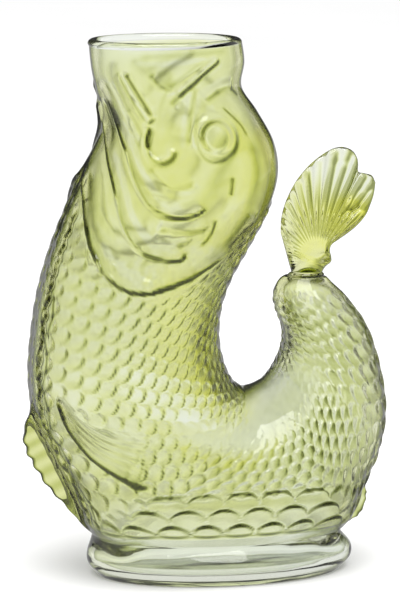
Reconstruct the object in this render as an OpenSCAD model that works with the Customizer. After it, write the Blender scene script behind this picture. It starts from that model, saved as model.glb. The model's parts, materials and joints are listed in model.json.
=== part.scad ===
// Gurgle jug: a hollow glass fish that stands on its belly, pours from its mouth
// and is held by its raised tail. X runs from the belly to the tail, Y from side
// to side and Z up. The origin is on the table, under the middle of the jug.

/* [Overall size] */
// Height, from the table to the rim
jug_height = 240; // [180:1:300]
// Length, from the belly fin to the bend of the tail
jug_length = 164; // [124:1:204]
// Depth of the belly, from side to side
jug_depth = 97; // [74:1:120]

/* [Glass] */
// Thickness of the wall
wall = 3.6; // [2.4:0.1:4.4]
// Height of the polished band round the mouth
rim_band = 3.2; // [2.4:0.1:9]
// How far the rim's bead stands proud of the wall
rim_bead = 0.3; // [0.1:0.1:1.2]

/* [Foot] */
// Height of the foot, from the table to the crease under the belly
foot_height = 18; // [14:0.5:24]
// Length of the foot at its fullest
foot_length = 121; // [100:1:140]
// Depth of the foot at its fullest
foot_depth = 78; // [66:1:96]
// How much longer and deeper the foot is at its fullest than where it stands
foot_tuck = 5; // [2:0.5:10]
// Thickness of the base
base_thickness = 4; // [3:0.1:6]
// How far the base's side is tucked under
base_round = 3; // [1:0.1:4]
// Depth of the shallow recess under the base
base_recess = 1.4; // [0.5:0.1:2]
// Width of the band that the jug stands on
base_band = 9; // [5:0.5:16]

/* [Head] */
// Diameter of the eye
eye_diameter = 19.6; // [14:0.2:24]
// Diameter of the pupil
pupil_diameter = 9.4; // [5:0.2:12]
// How far the eye's ring and pupil stand out
eye_rise = 1.3; // [0.6:0.1:2.2]
// Width of the lips
lip_width = 4.2; // [2.6:0.1:6]
// How far the lips stand out
lip_rise = 1.3; // [0.6:0.1:2.4]
// How far the edge of the cheek stands out
cheek_rise = 1.2; // [0.6:0.1:2]
// How far the edge of the gill cover stands out
gill_rise = 1.7; // [0.8:0.1:2.6]

/* [Fins] */
// How far the lower edge of a side fin stands out
pectoral_rise = 2; // [1:0.1:3]
// Height of the belly fin over the belly
belly_fin_height = 9.6; // [5:0.2:13]
// Height of the rear fin over the back
rear_fin_height = 6.6; // [3:0.2:9]
// Thickness of the belly fin and the rear fin
fin_thickness = 5; // [3:0.2:7]
// Length of the tail fin, from the neck to its tip
tail_fin_length = 55.6; // [40:0.2:64]
// Width of the tail fin
tail_fin_width = 43; // [32:0.2:52]
// Thickness of the tail fin in its middle
tail_fin_thickness = 9; // [6:0.2:12]
// Thickness of the tail fin at its tips
tail_tip_thickness = 3.2; // [2:0.1:4.5]
// How much thinner the tail fin is between its two lobes
tail_fin_groove = 3; // [0:0.1:4]

/* [Hidden] */

// The fish is a tube bent round its loop. Each row is one station along it: the
// outer end, on the belly side, and the inner end, on the back, as shares of the
// length and height, then half the depth there as a share of the depth.
station_shares = [
    [-0.313, 1.000, 0.099, 1.000, 0.278],
    [-0.305, 0.946, 0.107, 0.957, 0.289],
    [-0.288, 0.888, 0.099, 0.911, 0.309],
    [-0.282, 0.831, 0.143, 0.864, 0.340],
    [-0.322, 0.769, 0.187, 0.808, 0.381],
    [-0.373, 0.692, 0.198, 0.750, 0.423],
    [-0.419, 0.613, 0.171, 0.688, 0.454],
    [-0.452, 0.535, 0.118, 0.623, 0.474],
    [-0.471, 0.454, 0.067, 0.565, 0.490],
    [-0.479, 0.375, 0.037, 0.508, 0.499],
    [-0.465, 0.300, 0.031, 0.450, 0.500],
    [-0.424, 0.238, 0.045, 0.402, 0.500],
    [-0.369, 0.160, 0.070, 0.367, 0.495],
    [-0.308, 0.075, 0.098, 0.351, 0.485],
    [-0.223, 0.054, 0.110, 0.346, 0.480],
    [-0.104, 0.032, 0.123, 0.344, 0.475],
    [0.024, 0.024, 0.136, 0.345, 0.470],
    [0.152, 0.030, 0.151, 0.348, 0.462],
    [0.268, 0.048, 0.165, 0.353, 0.450],
    [0.375, 0.075, 0.179, 0.360, 0.433],
    [0.438, 0.160, 0.201, 0.379, 0.402],
    [0.479, 0.223, 0.218, 0.403, 0.366],
    [0.499, 0.292, 0.227, 0.429, 0.325],
    [0.489, 0.367, 0.223, 0.456, 0.278],
    [0.454, 0.450, 0.207, 0.485, 0.222],
    [0.398, 0.510, 0.196, 0.517, 0.160],
    [0.354, 0.540, 0.210, 0.545, 0.103],
    [0.329, 0.559, 0.244, 0.559, 0.067]
];
last_station = len(station_shares) - 1;

// Places on the skin are a station and a turn: 0 on the belly edge, 1 on the back.
// Station of the line that the gill cover ends on, at even shares of the half turn
gill_line_shares = [3.9, 4.45, 5.35, 6.25, 6.95, 7.28, 7.28, 6.85, 6.25, 5.75, 5.5];
// Lines of stations and turns, as shares of the half turn
gill_edge_shares = [[4.1, 0.05], [4.75, 0.13], [5.55, 0.22], [6.1, 0.278], [6.7, 0.356],
                    [7.1, 0.434], [7.28, 0.516], [7.28, 0.59], [7.1, 0.644], [6.85, 0.693],
                    [6.35, 0.74], [5.75, 0.77]];
gill_root_shares = [[3.3, 0.07], [3.75, 0.154], [4.5, 0.241], [5, 0.285], [5.6, 0.335],
                    [6.05, 0.389], [6.35, 0.45], [6.5, 0.51], [6.45, 0.56], [6.25, 0.595],
                    [5.8, 0.615], [5.25, 0.61]];
cheek_edge_shares = [[2.2, 0.06], [2.95, 0.1], [3.75, 0.154], [4.5, 0.241], [5, 0.285],
                     [5.6, 0.335], [6.05, 0.389], [6.35, 0.45], [6.5, 0.51], [6.45, 0.56],
                     [6.25, 0.595], [5.8, 0.615], [5.25, 0.61]];
cheek_root_shares = [[1.3, 0.08], [2.1, 0.15], [2.6, 0.18], [3.2, 0.21], [3.9, 0.27],
                     [4.35, 0.311], [4.9, 0.372], [5.1, 0.42], [5.25, 0.46], [5.3, 0.5],
                     [5.3, 0.53], [5.2, 0.555], [5, 0.57]];
lip_shares = [[0.55, 0.205], [1.2, 0.262], [1.9, 0.305], [2.5, 0.335], [3.2, 0.322],
              [3.7, 0.335], [3.9, 0.375], [3.5, 0.418], [2.9, 0.425], [2.4, 0.455],
              [1.7, 0.53], [1.1, 0.59], [0.6, 0.675]];
eye_shares = [3.38, 0.592];
pectoral_top_shares = [[9.15, 0.2], [9.8, 0.274], [10.3, 0.331], [10.75, 0.397], [11.1, 0.463]];
pectoral_edge_shares = [[9.35, 0.195], [10.3, 0.22], [11.15, 0.243], [11.9, 0.3], [12.4, 0.393]];

// Where the belly and its two fins begin and end, in shares of a station before or
// after the ends of the foot's crease
belly_reach_shares = [0.3, 1.2];
belly_fin_reach_shares = [3.57, 0.12];
rear_fin_reach_shares = [0.03, 1.1];
// Height of each fin over the skin at even steps along it, as shares
belly_fin_shares = [0, 0.22, 0.72, 0.97, 1, 0.95, 0.83, 0.58, 0.28, 0];
rear_fin_shares = [0, 0.55, 0.95, 1, 0.88, 0.55, 0];

// Outline of the tail fin from its front over the notch to the rear lobe, then its back
// from the neck up to the same place: X from the middle of the neck as a share of the
// fin's width and Z over the neck as a share of its length
tail_fin_shares = [
    [-0.28, 0.32], [-0.275, 0.43], [-0.235, 0.555], [-0.165, 0.675], [-0.08, 0.775], [0.04, 0.875],
    [0.18, 0.955], [0.29, 0.995], [0.39, 1], [0.48, 0.97], [0.53, 0.915], [0.543, 0.86],
    [0.545, 0.8], [0.61, 0.785], [0.69, 0.765], [0.73, 0.71]];
fin_back_shares = [
    [0.162, 0], [0.195, 0.035], [0.25, 0.08], [0.254, 0.125], [0.242, 0.17], [0.262, 0.215],
    [0.34, 0.255], [0.43, 0.3], [0.515, 0.35], [0.59, 0.41], [0.64, 0.465], [0.675, 0.525],
    [0.705, 0.59], [0.722, 0.65], [0.73, 0.71]];

// How quickly the columns of the tail fin take on the shape of its back, and how far
// they lean away from it over the neck
back_swell = 1.5;
lean_share = 0.4;

// Where the tail fin's groove is, how wide it is, how far up the fin its neck reaches
// and how blunt its edges are, all as shares
notch_share = 0.8;
groove_share = 0.12;
neck_share = 0.25;
blunt_share = 0.3;

// Outline of the foot, from the crease down: height as a share of the foot's height,
// and how far the outline has grown from the crease to its fullest
foot_shares = [[0.94, 0.07], [0.85, 0.26], [0.75, 0.52], [0.64, 0.79], [0.54, 0.95], [0.45, 1]];
foot_mid_share = 0.044;
// Where the foot starts to tuck in under its fullest outline, and by how much there
low_share = 0.45;
tuck_share = 0.3;
// Thickness of the eye's ring and width of the pupil's top, as shares
eye_ring_share = 0.17;
pupil_top_share = 0.7;

// How squarely a section fills its width and depth: 1 is an ellipse
fullness = 0.95;
skin_columns = 40;
half_turn = 180;
full_turn = 360;
head_rings = 11;
chest_rings = 13;
front_rings = 1;
saddle_rings = 18;
rear_rings = 2;
tail_rings = 13;
rim_steps = 6;
fin_columns = 44;
fin_rings = 10;
fin_steps = 2;
plate_columns = 36;
plate_rows = 3;
plate_swell = 1.5;
side_fin_columns = 24;
side_fin_rows = 5;
lip_steps = 44;
lip_sides = 8;
eye_sides = 64;
eye_ring_sides = 32;
nudge = 0.01;
search_steps = 24;
plate_depth = 0.9;
eye_depth = 2;
fin_root = 1.6;
overrun = 1;

// Stations where the belly edge meets the foot's crease, outside and inside. The
// search starts from rows that are well over and well under the crease.
search_shares = [12, 16, 20];
waist_start = opening(search_shares[0], search_shares[1], 0);
waist_end = opening(search_shares[2], search_shares[1], 0);
inner_waist_start = opening(search_shares[0], search_shares[1], wall);
inner_waist_end = opening(search_shares[2], search_shares[1], wall);
belly_start = waist_start - belly_reach_shares[0];
belly_end = waist_end + belly_reach_shares[1];
foot_middle = foot_mid_share * jug_length;
neck_low = low_end(last_station, 0);
neck_high = high_end(last_station, 0);
neck_middle = (neck_low + neck_high) / 2;
rim_drop = (station_shares[0][1] - station_shares[1][1]) * jug_height;
rim_station = rim_band / rim_drop;

glass_green = [0.72, 0.76, 0.38];
clear_green = [0.80, 0.84, 0.60];

function mix(a, b, t) = a + (b - a) * t;

// A smooth curve through evenly spaced rows, read at row number t
function curve_row(rows, i) =
    i < 0 ? 2 * rows[0] - rows[1]
    : i >= len(rows) ? 2 * rows[len(rows) - 1] - rows[len(rows) - 2]
    : rows[i];
function spline(p, q, r, s, t) =
    (2 * q + (r - p) * t + (2 * p - 5 * q + 4 * r - s) * t * t + (3 * q - p - 3 * r + s) * t * t * t) / 2;
function curve(rows, t) =
    let (i = max(0, min(floor(t), len(rows) - 2)))
    spline(curve_row(rows, i - 1), rows[i], rows[i + 1], curve_row(rows, i + 2), t - i);
function share_curve(rows, share) = curve(rows, share * (len(rows) - 1));

// The two ends of a station in the middle plane, moved in by a depth of glass
function ends(u, inset) =
    let (s = curve(station_shares, u),
         low = [s[0] * jug_length, s[1] * jug_height],
         high = [s[2] * jug_length, s[3] * jug_height],
         way = (high - low) / norm(high - low))
    [low + way * inset, high - way * inset, s[4] * jug_depth - inset];
function low_end(u, inset) = ends(u, inset)[0];
function high_end(u, inset) = ends(u, inset)[1];

// A point of the skin at a station and an angle from the belly edge. Angles up to
// a half turn are on the left side of the fish, which is the -Y side.
function skin(u, angle, inset) =
    let (e = ends(u, inset), at = mix(e[0], e[1], (1 - cos(angle)) / 2))
    [at[0], -e[2] * sign(sin(angle)) * pow(abs(sin(angle)), fullness), at[1]];

// Outward direction of the skin
function outward(u, angle) =
    let (along = skin(u + nudge, angle, 0) - skin(u - nudge, angle, 0),
         round_it = skin(u, angle + nudge, 0) - skin(u, angle - nudge, 0),
         way = cross(along, round_it))
    way / norm(way);

// The station between two others where the belly edge meets the foot's crease
function opening(above, below, inset, steps = search_steps) =
    let (middle = (above + below) / 2)
    steps == 0 ? middle
    : low_end(middle, inset)[1] > foot_height ? opening(middle, below, inset, steps - 1)
    : opening(above, middle, inset, steps - 1);

// How far round from the belly edge a station is cut off by the foot's crease
function cut_angle(u, inset) =
    let (e = ends(u, inset), share = (foot_height - e[0][1]) / (e[1][1] - e[0][1]))
    share > 0 ? acos(1 - 2 * share) : 0;

// Station of a ring at an angle: a plain ring has one station all round, and the
// ring along the edge of the gill covers has its own, the same on both sides
gill_ring = -1;
function ring_station(ring, angle) =
    ring == gill_ring
    ? share_curve(gill_line_shares, (angle > half_turn ? full_turn - angle : angle) / half_turn)
    : ring;

// A closed solid through rings with as many points each, where the last ring
// meets the first one again
module ring_solid(rings) {
    m = len(rings);
    n = len(rings[0]);
    polyhedron(
        points = [for (ring = rings) each ring],
        faces = [for (i = [0 : m - 1], k = [0 : n - 1])
            let (a = i * n + k, b = i * n + (k + 1) % n,
                 c = (i + 1) % m * n + (k + 1) % n, d = (i + 1) % m * n + k)
            each i < m - 1 ? [[a, b, c], [a, c, d]] : [[a, b, d], [b, c, d]]]);
}

// A closed solid between an outer and an inner sheet of the same rows and columns
module sheet_solid(outer, inner) {
    m = len(outer);
    n = len(outer[0]);
    size = m * n;
    edge = concat([for (k = [0 : n - 2]) k], [for (i = [0 : m - 2]) i * n + n - 1],
                  [for (k = [n - 1 : -1 : 1]) (m - 1) * n + k], [for (i = [m - 1 : -1 : 1]) i * n]);
    polyhedron(
        points = concat([for (row = outer) each row], [for (row = inner) each row]),
        faces = concat(
            [for (i = [0 : m - 2], k = [0 : n - 2])
                let (a = i * n + k)
                each [[a, a + 1, a + n + 1], [a, a + n + 1, a + n],
                      [size + a, size + a + n + 1, size + a + 1], [size + a, size + a + n, size + a + n + 1]]],
            [for (i = [0 : len(edge) - 1])
                let (a = edge[i], b = edge[(i + 1) % len(edge)])
                each [[b, a, size + a], [b, size + a, size + b]]]));
}

function ring_between(first, last, share, inset) =
    [for (k = [0 : skin_columns - 1])
        let (angle = full_turn * k / skin_columns)
        skin(mix(ring_station(first, angle), ring_station(last, angle), share), angle, inset)];
function ring_at(u, inset) = ring_between(u, u, 0, inset);
function lifted(ring, rise) = [for (p = ring) [p[0], p[1], p[2] + rise]];

// A tube of skin between two rings
module tube(first, last, rings) {
    ring_solid(concat(
        [for (i = [0 : rings]) ring_between(first, last, i / rings, 0)],
        [for (i = [rings : -1 : 0]) ring_between(first, last, i / rings, wall)]));
}

module mouth_rim() {
    bead = wall / 2 + rim_bead;
    color(clear_green)
    ring_solid(concat(
        [ring_at(rim_station, wall)],
        [for (i = [0 : rim_steps])
            let (angle = half_turn * i / rim_steps)
            lifted(ring_at(0, wall / 2 + bead * cos(angle)), bead * sin(angle) - bead)],
        [ring_at(rim_station, 0)]));
}

module head() {
    color(glass_green)
    tube(rim_station, gill_ring, head_rings);
}

module chest() {
    color(glass_green)
    tube(gill_ring, belly_start, chest_rings);
}

// The saddle between the two ends of the foot's crease is open underneath, so its
// rows are cut off at the crease and their first and last columns are apart.
function belly_stations(first, last) = concat(
    [for (i = [0 : front_rings - 1]) mix(belly_start, first, i / front_rings)],
    [for (i = [0 : saddle_rings]) mix(first, last, (1 - cos(half_turn * i / saddle_rings)) / 2)],
    [for (i = [1 : rear_rings]) mix(last, belly_end, i / rear_rings)]);
function in_saddle(row) = row > front_rings && row < front_rings + saddle_rings;
function belly_row(u, row, inset) =
    let (cut = in_saddle(row) ? cut_angle(u, inset) : 0)
    [for (k = [0 : skin_columns]) skin(u, cut + (full_turn - 2 * cut) * k / skin_columns, inset)];
function belly_id(row, column, base) =
    base + row * (skin_columns + 1) + (column == skin_columns && !in_saddle(row) ? 0 : column);
function crease_ids(base) = concat(
    [for (i = [0 : saddle_rings]) belly_id(front_rings + i, 0, base)],
    [for (i = [saddle_rings - 1 : -1 : 1]) belly_id(front_rings + i, skin_columns, base)]);

module belly() {
    outer_stations = belly_stations(waist_start, waist_end);
    inner_stations = belly_stations(inner_waist_start, inner_waist_end);
    rows = len(outer_stations);
    size = rows * (skin_columns + 1);
    out_crease = crease_ids(0);
    in_crease = crease_ids(size);
    crease = len(out_crease);
    color(glass_green)
    polyhedron(
        points = concat(
            [for (i = [0 : rows - 1]) each belly_row(outer_stations[i], i, 0)],
            [for (i = [0 : rows - 1]) each belly_row(inner_stations[i], i, wall)]),
        faces = concat(
            [for (i = [0 : rows - 2], k = [0 : skin_columns - 1])
                let (a = belly_id(i, k, 0), b = belly_id(i, k + 1, 0),
                     c = belly_id(i + 1, k + 1, 0), d = belly_id(i + 1, k, 0))
                each [[a, b, c], [a, c, d], [size + c, size + b, size + a], [size + d, size + c, size + a]]],
            [for (k = [0 : skin_columns - 1])
                let (a = belly_id(0, k, 0), b = belly_id(0, k + 1, 0),
                     c = belly_id(rows - 1, k, 0), d = belly_id(rows - 1, k + 1, 0))
                each [[b, a, size + b], [a, size + a, size + b],
                      [c, d, size + c], [d, size + d, size + c]]],
            [for (i = [0 : crease - 1])
                let (j = (i + 1) % crease)
                each [[out_crease[i], out_crease[j], in_crease[j]],
                      [out_crease[i], in_crease[j], in_crease[i]]]]));
}

module tail() {
    color(glass_green)
    tube(belly_end, last_station, tail_rings);
}

// The crease's ring of points, from the front along the left side and back
function crease_ring(first, last, inset) =
    let (near = [for (i = [0 : saddle_rings])
            let (u = mix(first, last, (1 - cos(half_turn * i / saddle_rings)) / 2),
                 cut = i == 0 || i == saddle_rings ? 0 : cut_angle(u, inset),
                 p = skin(u, cut, inset))
            [p[0], cut == 0 ? 0 : p[1], foot_height]])
    concat(near, [for (i = [saddle_rings - 1 : -1 : 1]) [near[i][0], -near[i][1], foot_height]]);

// The ring of an oval of the given half sizes, one point for each of the crease
function oval_ring(crease, half_length, half_width, z) =
    let (front = crease[0][0], back = crease[saddle_rings][0], deep = -crease[saddle_rings / 2][1])
    [for (p = crease)
        let (angle = atan2(p[1] / deep, (p[0] - (front + back) / 2) / ((back - front) / 2)))
        [foot_middle + half_length * cos(angle), half_width * sin(angle), z]];
function grown_ring(crease, inset, share, z) =
    let (oval = oval_ring(crease, foot_length / 2 - inset, foot_depth / 2 - inset, z))
    [for (i = [0 : len(crease) - 1])
        let (p = mix(crease[i], oval[i], share))
        [p[0], p[1], z]];
function standing_ring(crease, inset) =
    oval_ring(crease, (foot_length - foot_tuck) / 2 - inset, (foot_depth - foot_tuck) / 2 - inset,
              base_thickness);

module foot() {
    outer = crease_ring(waist_start, waist_end, 0);
    inner = crease_ring(inner_waist_start, inner_waist_end, wall);
    low = mix(base_thickness, foot_height * foot_shares[len(foot_shares) - 1][0], low_share);
    long = foot_length - foot_tuck * tuck_share;
    deep = foot_depth - foot_tuck * tuck_share;
    color(clear_green)
    ring_solid(concat(
        [outer],
        [for (s = foot_shares) grown_ring(outer, 0, s[1], foot_height * s[0])],
        [oval_ring(outer, long / 2, deep / 2, low)],
        [standing_ring(outer, 0), standing_ring(inner, wall)],
        [oval_ring(inner, long / 2 - wall, deep / 2 - wall, low)],
        [for (i = [len(foot_shares) - 1 : -1 : 0])
            grown_ring(inner, wall, foot_shares[i][1], foot_height * foot_shares[i][0])],
        [inner]));
}

// The base's side is tucked under, down to the face that the jug stands on
module base() {
    outer = crease_ring(waist_start, waist_end, 0);
    wide = [foot_length - foot_tuck, foot_depth - foot_tuck];
    low = [wide[0] - base_round * 2, wide[1] - base_round * 2];
    color(clear_green)
    difference() {
        translate([foot_middle, 0, 0])
            linear_extrude(base_thickness, scale = [wide[0] / low[0], wide[1] / low[1]])
                polygon([for (p = standing_ring(outer, base_round)) [p[0] - foot_middle, p[1]]]);
        translate([0, 0, -overrun])
            linear_extrude(base_recess + overrun)
                polygon([for (p = standing_ring(outer, base_round + base_band)) [p[0], p[1]]]);
    }
}

// The tail fin is solid. Its columns rise from the neck's ring to its outline, and the
// last of them is the fin's back. A groove runs up each side to the notch between its
// two lobes.
function fin_place(shares) =
    [neck_middle[0] + shares[0] * tail_fin_width, neck_middle[1] + shares[1] * tail_fin_length];

function fin_bend(share) =
    fin_place(share_curve(fin_back_shares, share))
    - mix(fin_place(share_curve(fin_back_shares, 0)), fin_place(share_curve(fin_back_shares, 1)), share);

function fin_row(share, face) =
    let (bend = fin_bend(share),
         lean = lean_share * tail_fin_width * share * pow(1 - share, 2),
         thick = mix(tail_fin_thickness, tail_tip_thickness, share),
         half_neck = curve(station_shares, last_station)[4] * jug_depth)
    [for (k = [0 : fin_columns])
        let (turn = k / fin_columns,
             tip = fin_place(share_curve(tail_fin_shares, turn)),
             angle = half_turn * turn,
             root = [mix(neck_low[0], neck_high[0], (1 + cos(angle)) / 2), neck_middle[1]],
             at = mix(root, tip, share) + bend * pow(turn, back_swell) - [lean * turn * (1 - turn), 0],
             edge = sin(angle),
             off_notch = (turn - notch_share) / groove_share,
             groove = tail_fin_groove * max(0, 1 - off_notch * off_notch) * share * (2 - share),
             full = (thick - groove * (1 - share)) / 2,
             half = mix(half_neck * edge, full * pow(max(edge, 0), blunt_share), min(1, share / neck_share)))
        [at[0], face * half, at[1]]];

module tail_fin() {
    n = fin_columns + 1;
    m = fin_rings + 1;
    size = m * n;
    rows = [for (i = [0 : fin_rings]) i / fin_rings];
    left = [for (s = rows) each fin_row(s, -1)];
    right = [for (s = rows) each fin_row(s, 1)];
    color(glass_green)
    polyhedron(
        points = concat(left, right),
        faces = concat(
            [for (i = [0 : m - 2], k = [0 : n - 2])
                let (a = i * n + k, b = a + 1, c = a + n + 1, d = a + n,
                     right_a = k == 0 ? a : size + a, right_b = k == n - 2 ? b : size + b,
                     right_c = k == n - 2 ? c : size + c, right_d = k == 0 ? d : size + d)
                each [[c, b, a], [d, c, a], [right_a, right_b, right_c], [right_a, right_c, right_d]]],
            [for (row = [0, m - 1], k = [0 : n - 2])
                let (a = row * n + k, b = a + 1, right_a = k == 0 ? a : size + a,
                     right_b = k == n - 2 ? b : size + b)
                each [if (k > 0) row == 0 ? [b, right_a, a] : [a, right_a, b],
                      if (k < n - 2) row == 0 ? [right_b, right_a, b] : [b, right_a, right_b]]]));
}

// A place a little way off the skin, given a station and a turn
function placed(place, inset) = skin(place[0], half_turn * place[1], inset);

// A plate on the left side that rises from a root line to a raised edge line
module plate(root, edge, rise, columns, rows) {
    outer = [for (i = [0 : rows])
        [for (k = [0 : columns])
            let (share = i / rows)
            placed(mix(share_curve(root, k / columns), share_curve(edge, k / columns), share),
                   -rise * pow(share, plate_swell))]];
    inner = [for (i = [0 : rows])
        [for (k = [0 : columns])
            placed(mix(share_curve(root, k / columns), share_curve(edge, k / columns), i / rows),
                   plate_depth)]];
    sheet_solid(outer, inner);
}

// A rounded bead along a line on the left side
module bead(line, width, rise, steps, sides) {
    depth = (rise + plate_depth) / 2;
    rings = [for (i = [0 : steps])
        let (at = share_curve(line, i / steps),
             before = share_curve(line, (i - nudge) / steps),
             after = share_curve(line, (i + nudge) / steps),
             p = placed(at, 0),
             ahead = placed(after, 0) - placed(before, 0),
             up = outward(at[0], half_turn * at[1]),
             across = cross(up, ahead) / norm(cross(up, ahead)))
        [for (j = [0 : sides - 1])
            let (angle = full_turn * j / sides)
            p + across * width / 2 * cos(angle) + up * (rise - depth + depth * sin(angle))]];
    polyhedron(
        points = [for (ring = rings) each ring],
        faces = concat(
            [for (i = [0 : steps - 1], j = [0 : sides - 1])
                let (a = i * sides + j, b = i * sides + (j + 1) % sides)
                each [[b + sides, b, a], [a + sides, b + sides, a]]],
            [for (j = [1 : sides - 2]) [0, j, j + 1]],
            [for (j = [1 : sides - 2]) [steps * sides + j + 1, steps * sides + j, steps * sides]]));
}

module on_right() {
    mirror([0, 1, 0])
        children();
}

module eye_left() {
    angle = half_turn * eye_shares[1];
    up = outward(eye_shares[0], angle);
    ring = (eye_diameter - pupil_diameter) * eye_ring_share;
    color(glass_green)
    translate(skin(eye_shares[0], angle, 0))
        rotate([0, acos(up[2]), atan2(up[1], up[0])]) {
            translate([0, 0, -eye_depth])
                cylinder(d = eye_diameter, h = eye_depth, $fn = eye_sides);
            rotate_extrude($fn = eye_sides)
                translate([eye_diameter / 2 - ring, 0])
                    scale([1, eye_rise / ring])
                        circle(ring, $fn = eye_ring_sides);
            translate([0, 0, -eye_depth])
                cylinder(d1 = pupil_diameter, d2 = pupil_diameter * pupil_top_share,
                         h = eye_depth + eye_rise, $fn = eye_sides);
        }
}

module eye_right() {
    on_right() eye_left();
}

module lip_left() {
    color(glass_green)
    bead(lip_shares, lip_width, lip_rise, lip_steps, lip_sides);
}

module lip_right() {
    on_right() lip_left();
}

module cheek_left() {
    color(glass_green)
    plate(cheek_root_shares, cheek_edge_shares, cheek_rise, plate_columns, plate_rows);
}

module cheek_right() {
    on_right() cheek_left();
}

module gill_cover_left() {
    color(glass_green)
    plate(gill_root_shares, gill_edge_shares, gill_rise, plate_columns, plate_rows);
}

module gill_cover_right() {
    on_right() gill_cover_left();
}

module pectoral_fin_left() {
    color(glass_green)
    plate(pectoral_top_shares, pectoral_edge_shares, pectoral_rise, side_fin_columns, side_fin_rows);
}

module pectoral_fin_right() {
    on_right() pectoral_fin_left();
}

// A flat fin on the belly edge, which follows the skin and is rooted in the wall
module edge_fin(first, last, heights, height) {
    steps = len(heights) * fin_steps;
    rows = [for (i = [0 : steps])
        let (u = mix(first, last, i / steps),
             along = low_end(u + nudge, 0) - low_end(u - nudge, 0),
             out = [along[1], -along[0]] / norm(along),
             p = low_end(u, 0),
             rise = height * max(0, share_curve(heights, i / steps)))
        [p + out * rise, p - out * fin_root]];
    translate([0, fin_thickness / 2, 0])
        rotate([90, 0, 0])
            linear_extrude(fin_thickness)
                polygon(concat([for (r = rows) r[0]], [for (i = [steps : -1 : 0]) rows[i][1]]));
}

module belly_fin() {
    color(glass_green)
    edge_fin(waist_start - belly_fin_reach_shares[0], waist_start - belly_fin_reach_shares[1],
             belly_fin_shares, belly_fin_height);
}

module rear_fin() {
    color(glass_green)
    edge_fin(waist_end + rear_fin_reach_shares[0], waist_end + rear_fin_reach_shares[1],
             rear_fin_shares, rear_fin_height);
}

mouth_rim();
head();
chest();
belly();
tail();
tail_fin();
foot();
base();
eye_left();
eye_right();
lip_left();
lip_right();
cheek_left();
cheek_right();
gill_cover_left();
gill_cover_right();
pectoral_fin_left();
pectoral_fin_right();
belly_fin();
rear_fin();
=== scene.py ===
"""Gurgle jug of green mould-blown glass in the shape of a fish, on a pale floor in soft studio light.

The skin of the fish, its relief and its foot are computed from the same stations as the solid model, in
millimetres, and are turned into meshes in metres in the frame that the model is packed in.
"""

import json
import logging
import math
from dataclasses import dataclass, field
from enum import Enum

import bpy
import numpy as np
from mathutils import Matrix, Vector

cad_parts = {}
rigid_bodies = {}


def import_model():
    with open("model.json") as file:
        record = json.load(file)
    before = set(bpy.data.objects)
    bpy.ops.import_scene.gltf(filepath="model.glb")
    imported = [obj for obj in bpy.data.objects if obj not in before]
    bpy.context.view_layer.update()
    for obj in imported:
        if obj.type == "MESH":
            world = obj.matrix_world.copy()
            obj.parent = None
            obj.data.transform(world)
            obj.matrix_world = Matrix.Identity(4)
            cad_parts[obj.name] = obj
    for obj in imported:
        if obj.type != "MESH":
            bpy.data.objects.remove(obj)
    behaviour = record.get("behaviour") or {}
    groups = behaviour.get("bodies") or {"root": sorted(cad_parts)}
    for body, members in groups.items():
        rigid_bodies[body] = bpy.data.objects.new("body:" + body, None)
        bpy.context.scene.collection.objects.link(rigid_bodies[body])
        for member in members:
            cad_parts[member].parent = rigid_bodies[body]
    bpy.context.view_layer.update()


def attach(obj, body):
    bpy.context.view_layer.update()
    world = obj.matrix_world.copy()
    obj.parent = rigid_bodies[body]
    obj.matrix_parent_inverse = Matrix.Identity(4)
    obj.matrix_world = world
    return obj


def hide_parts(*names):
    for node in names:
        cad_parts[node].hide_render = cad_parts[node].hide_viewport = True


LOG = logging.getLogger("jug")
MM = 0.001
HALF = math.pi
FULL = 2.0 * math.pi
Line = list[tuple[float, float]]

# Each row is one station along the fish: the outer end as shares of the length and the height, the inner
# end in the same way, then half the depth there as a share of the depth.
STATIONS = np.array([
    [-0.313, 1.000, 0.099, 1.000, 0.278], [-0.305, 0.946, 0.107, 0.957, 0.289],
    [-0.288, 0.888, 0.099, 0.911, 0.309], [-0.282, 0.831, 0.143, 0.864, 0.340],
    [-0.322, 0.769, 0.187, 0.808, 0.381], [-0.373, 0.692, 0.198, 0.750, 0.423],
    [-0.419, 0.613, 0.171, 0.688, 0.454], [-0.452, 0.535, 0.118, 0.623, 0.474],
    [-0.471, 0.454, 0.067, 0.565, 0.490], [-0.479, 0.375, 0.037, 0.508, 0.499],
    [-0.465, 0.300, 0.031, 0.450, 0.500], [-0.424, 0.238, 0.045, 0.402, 0.500],
    [-0.369, 0.160, 0.070, 0.367, 0.495], [-0.308, 0.075, 0.098, 0.351, 0.485],
    [-0.223, 0.054, 0.110, 0.346, 0.480], [-0.104, 0.032, 0.123, 0.344, 0.475],
    [0.024, 0.024, 0.136, 0.345, 0.470], [0.152, 0.030, 0.151, 0.348, 0.462],
    [0.268, 0.048, 0.165, 0.353, 0.450], [0.375, 0.075, 0.179, 0.360, 0.433],
    [0.438, 0.160, 0.201, 0.379, 0.402], [0.479, 0.223, 0.218, 0.403, 0.366],
    [0.499, 0.292, 0.227, 0.429, 0.325], [0.489, 0.367, 0.223, 0.456, 0.278],
    [0.454, 0.450, 0.207, 0.485, 0.222], [0.398, 0.510, 0.196, 0.517, 0.160],
    [0.354, 0.540, 0.210, 0.545, 0.103], [0.329, 0.559, 0.244, 0.559, 0.067]])
LAST = float(len(STATIONS) - 1)

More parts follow.
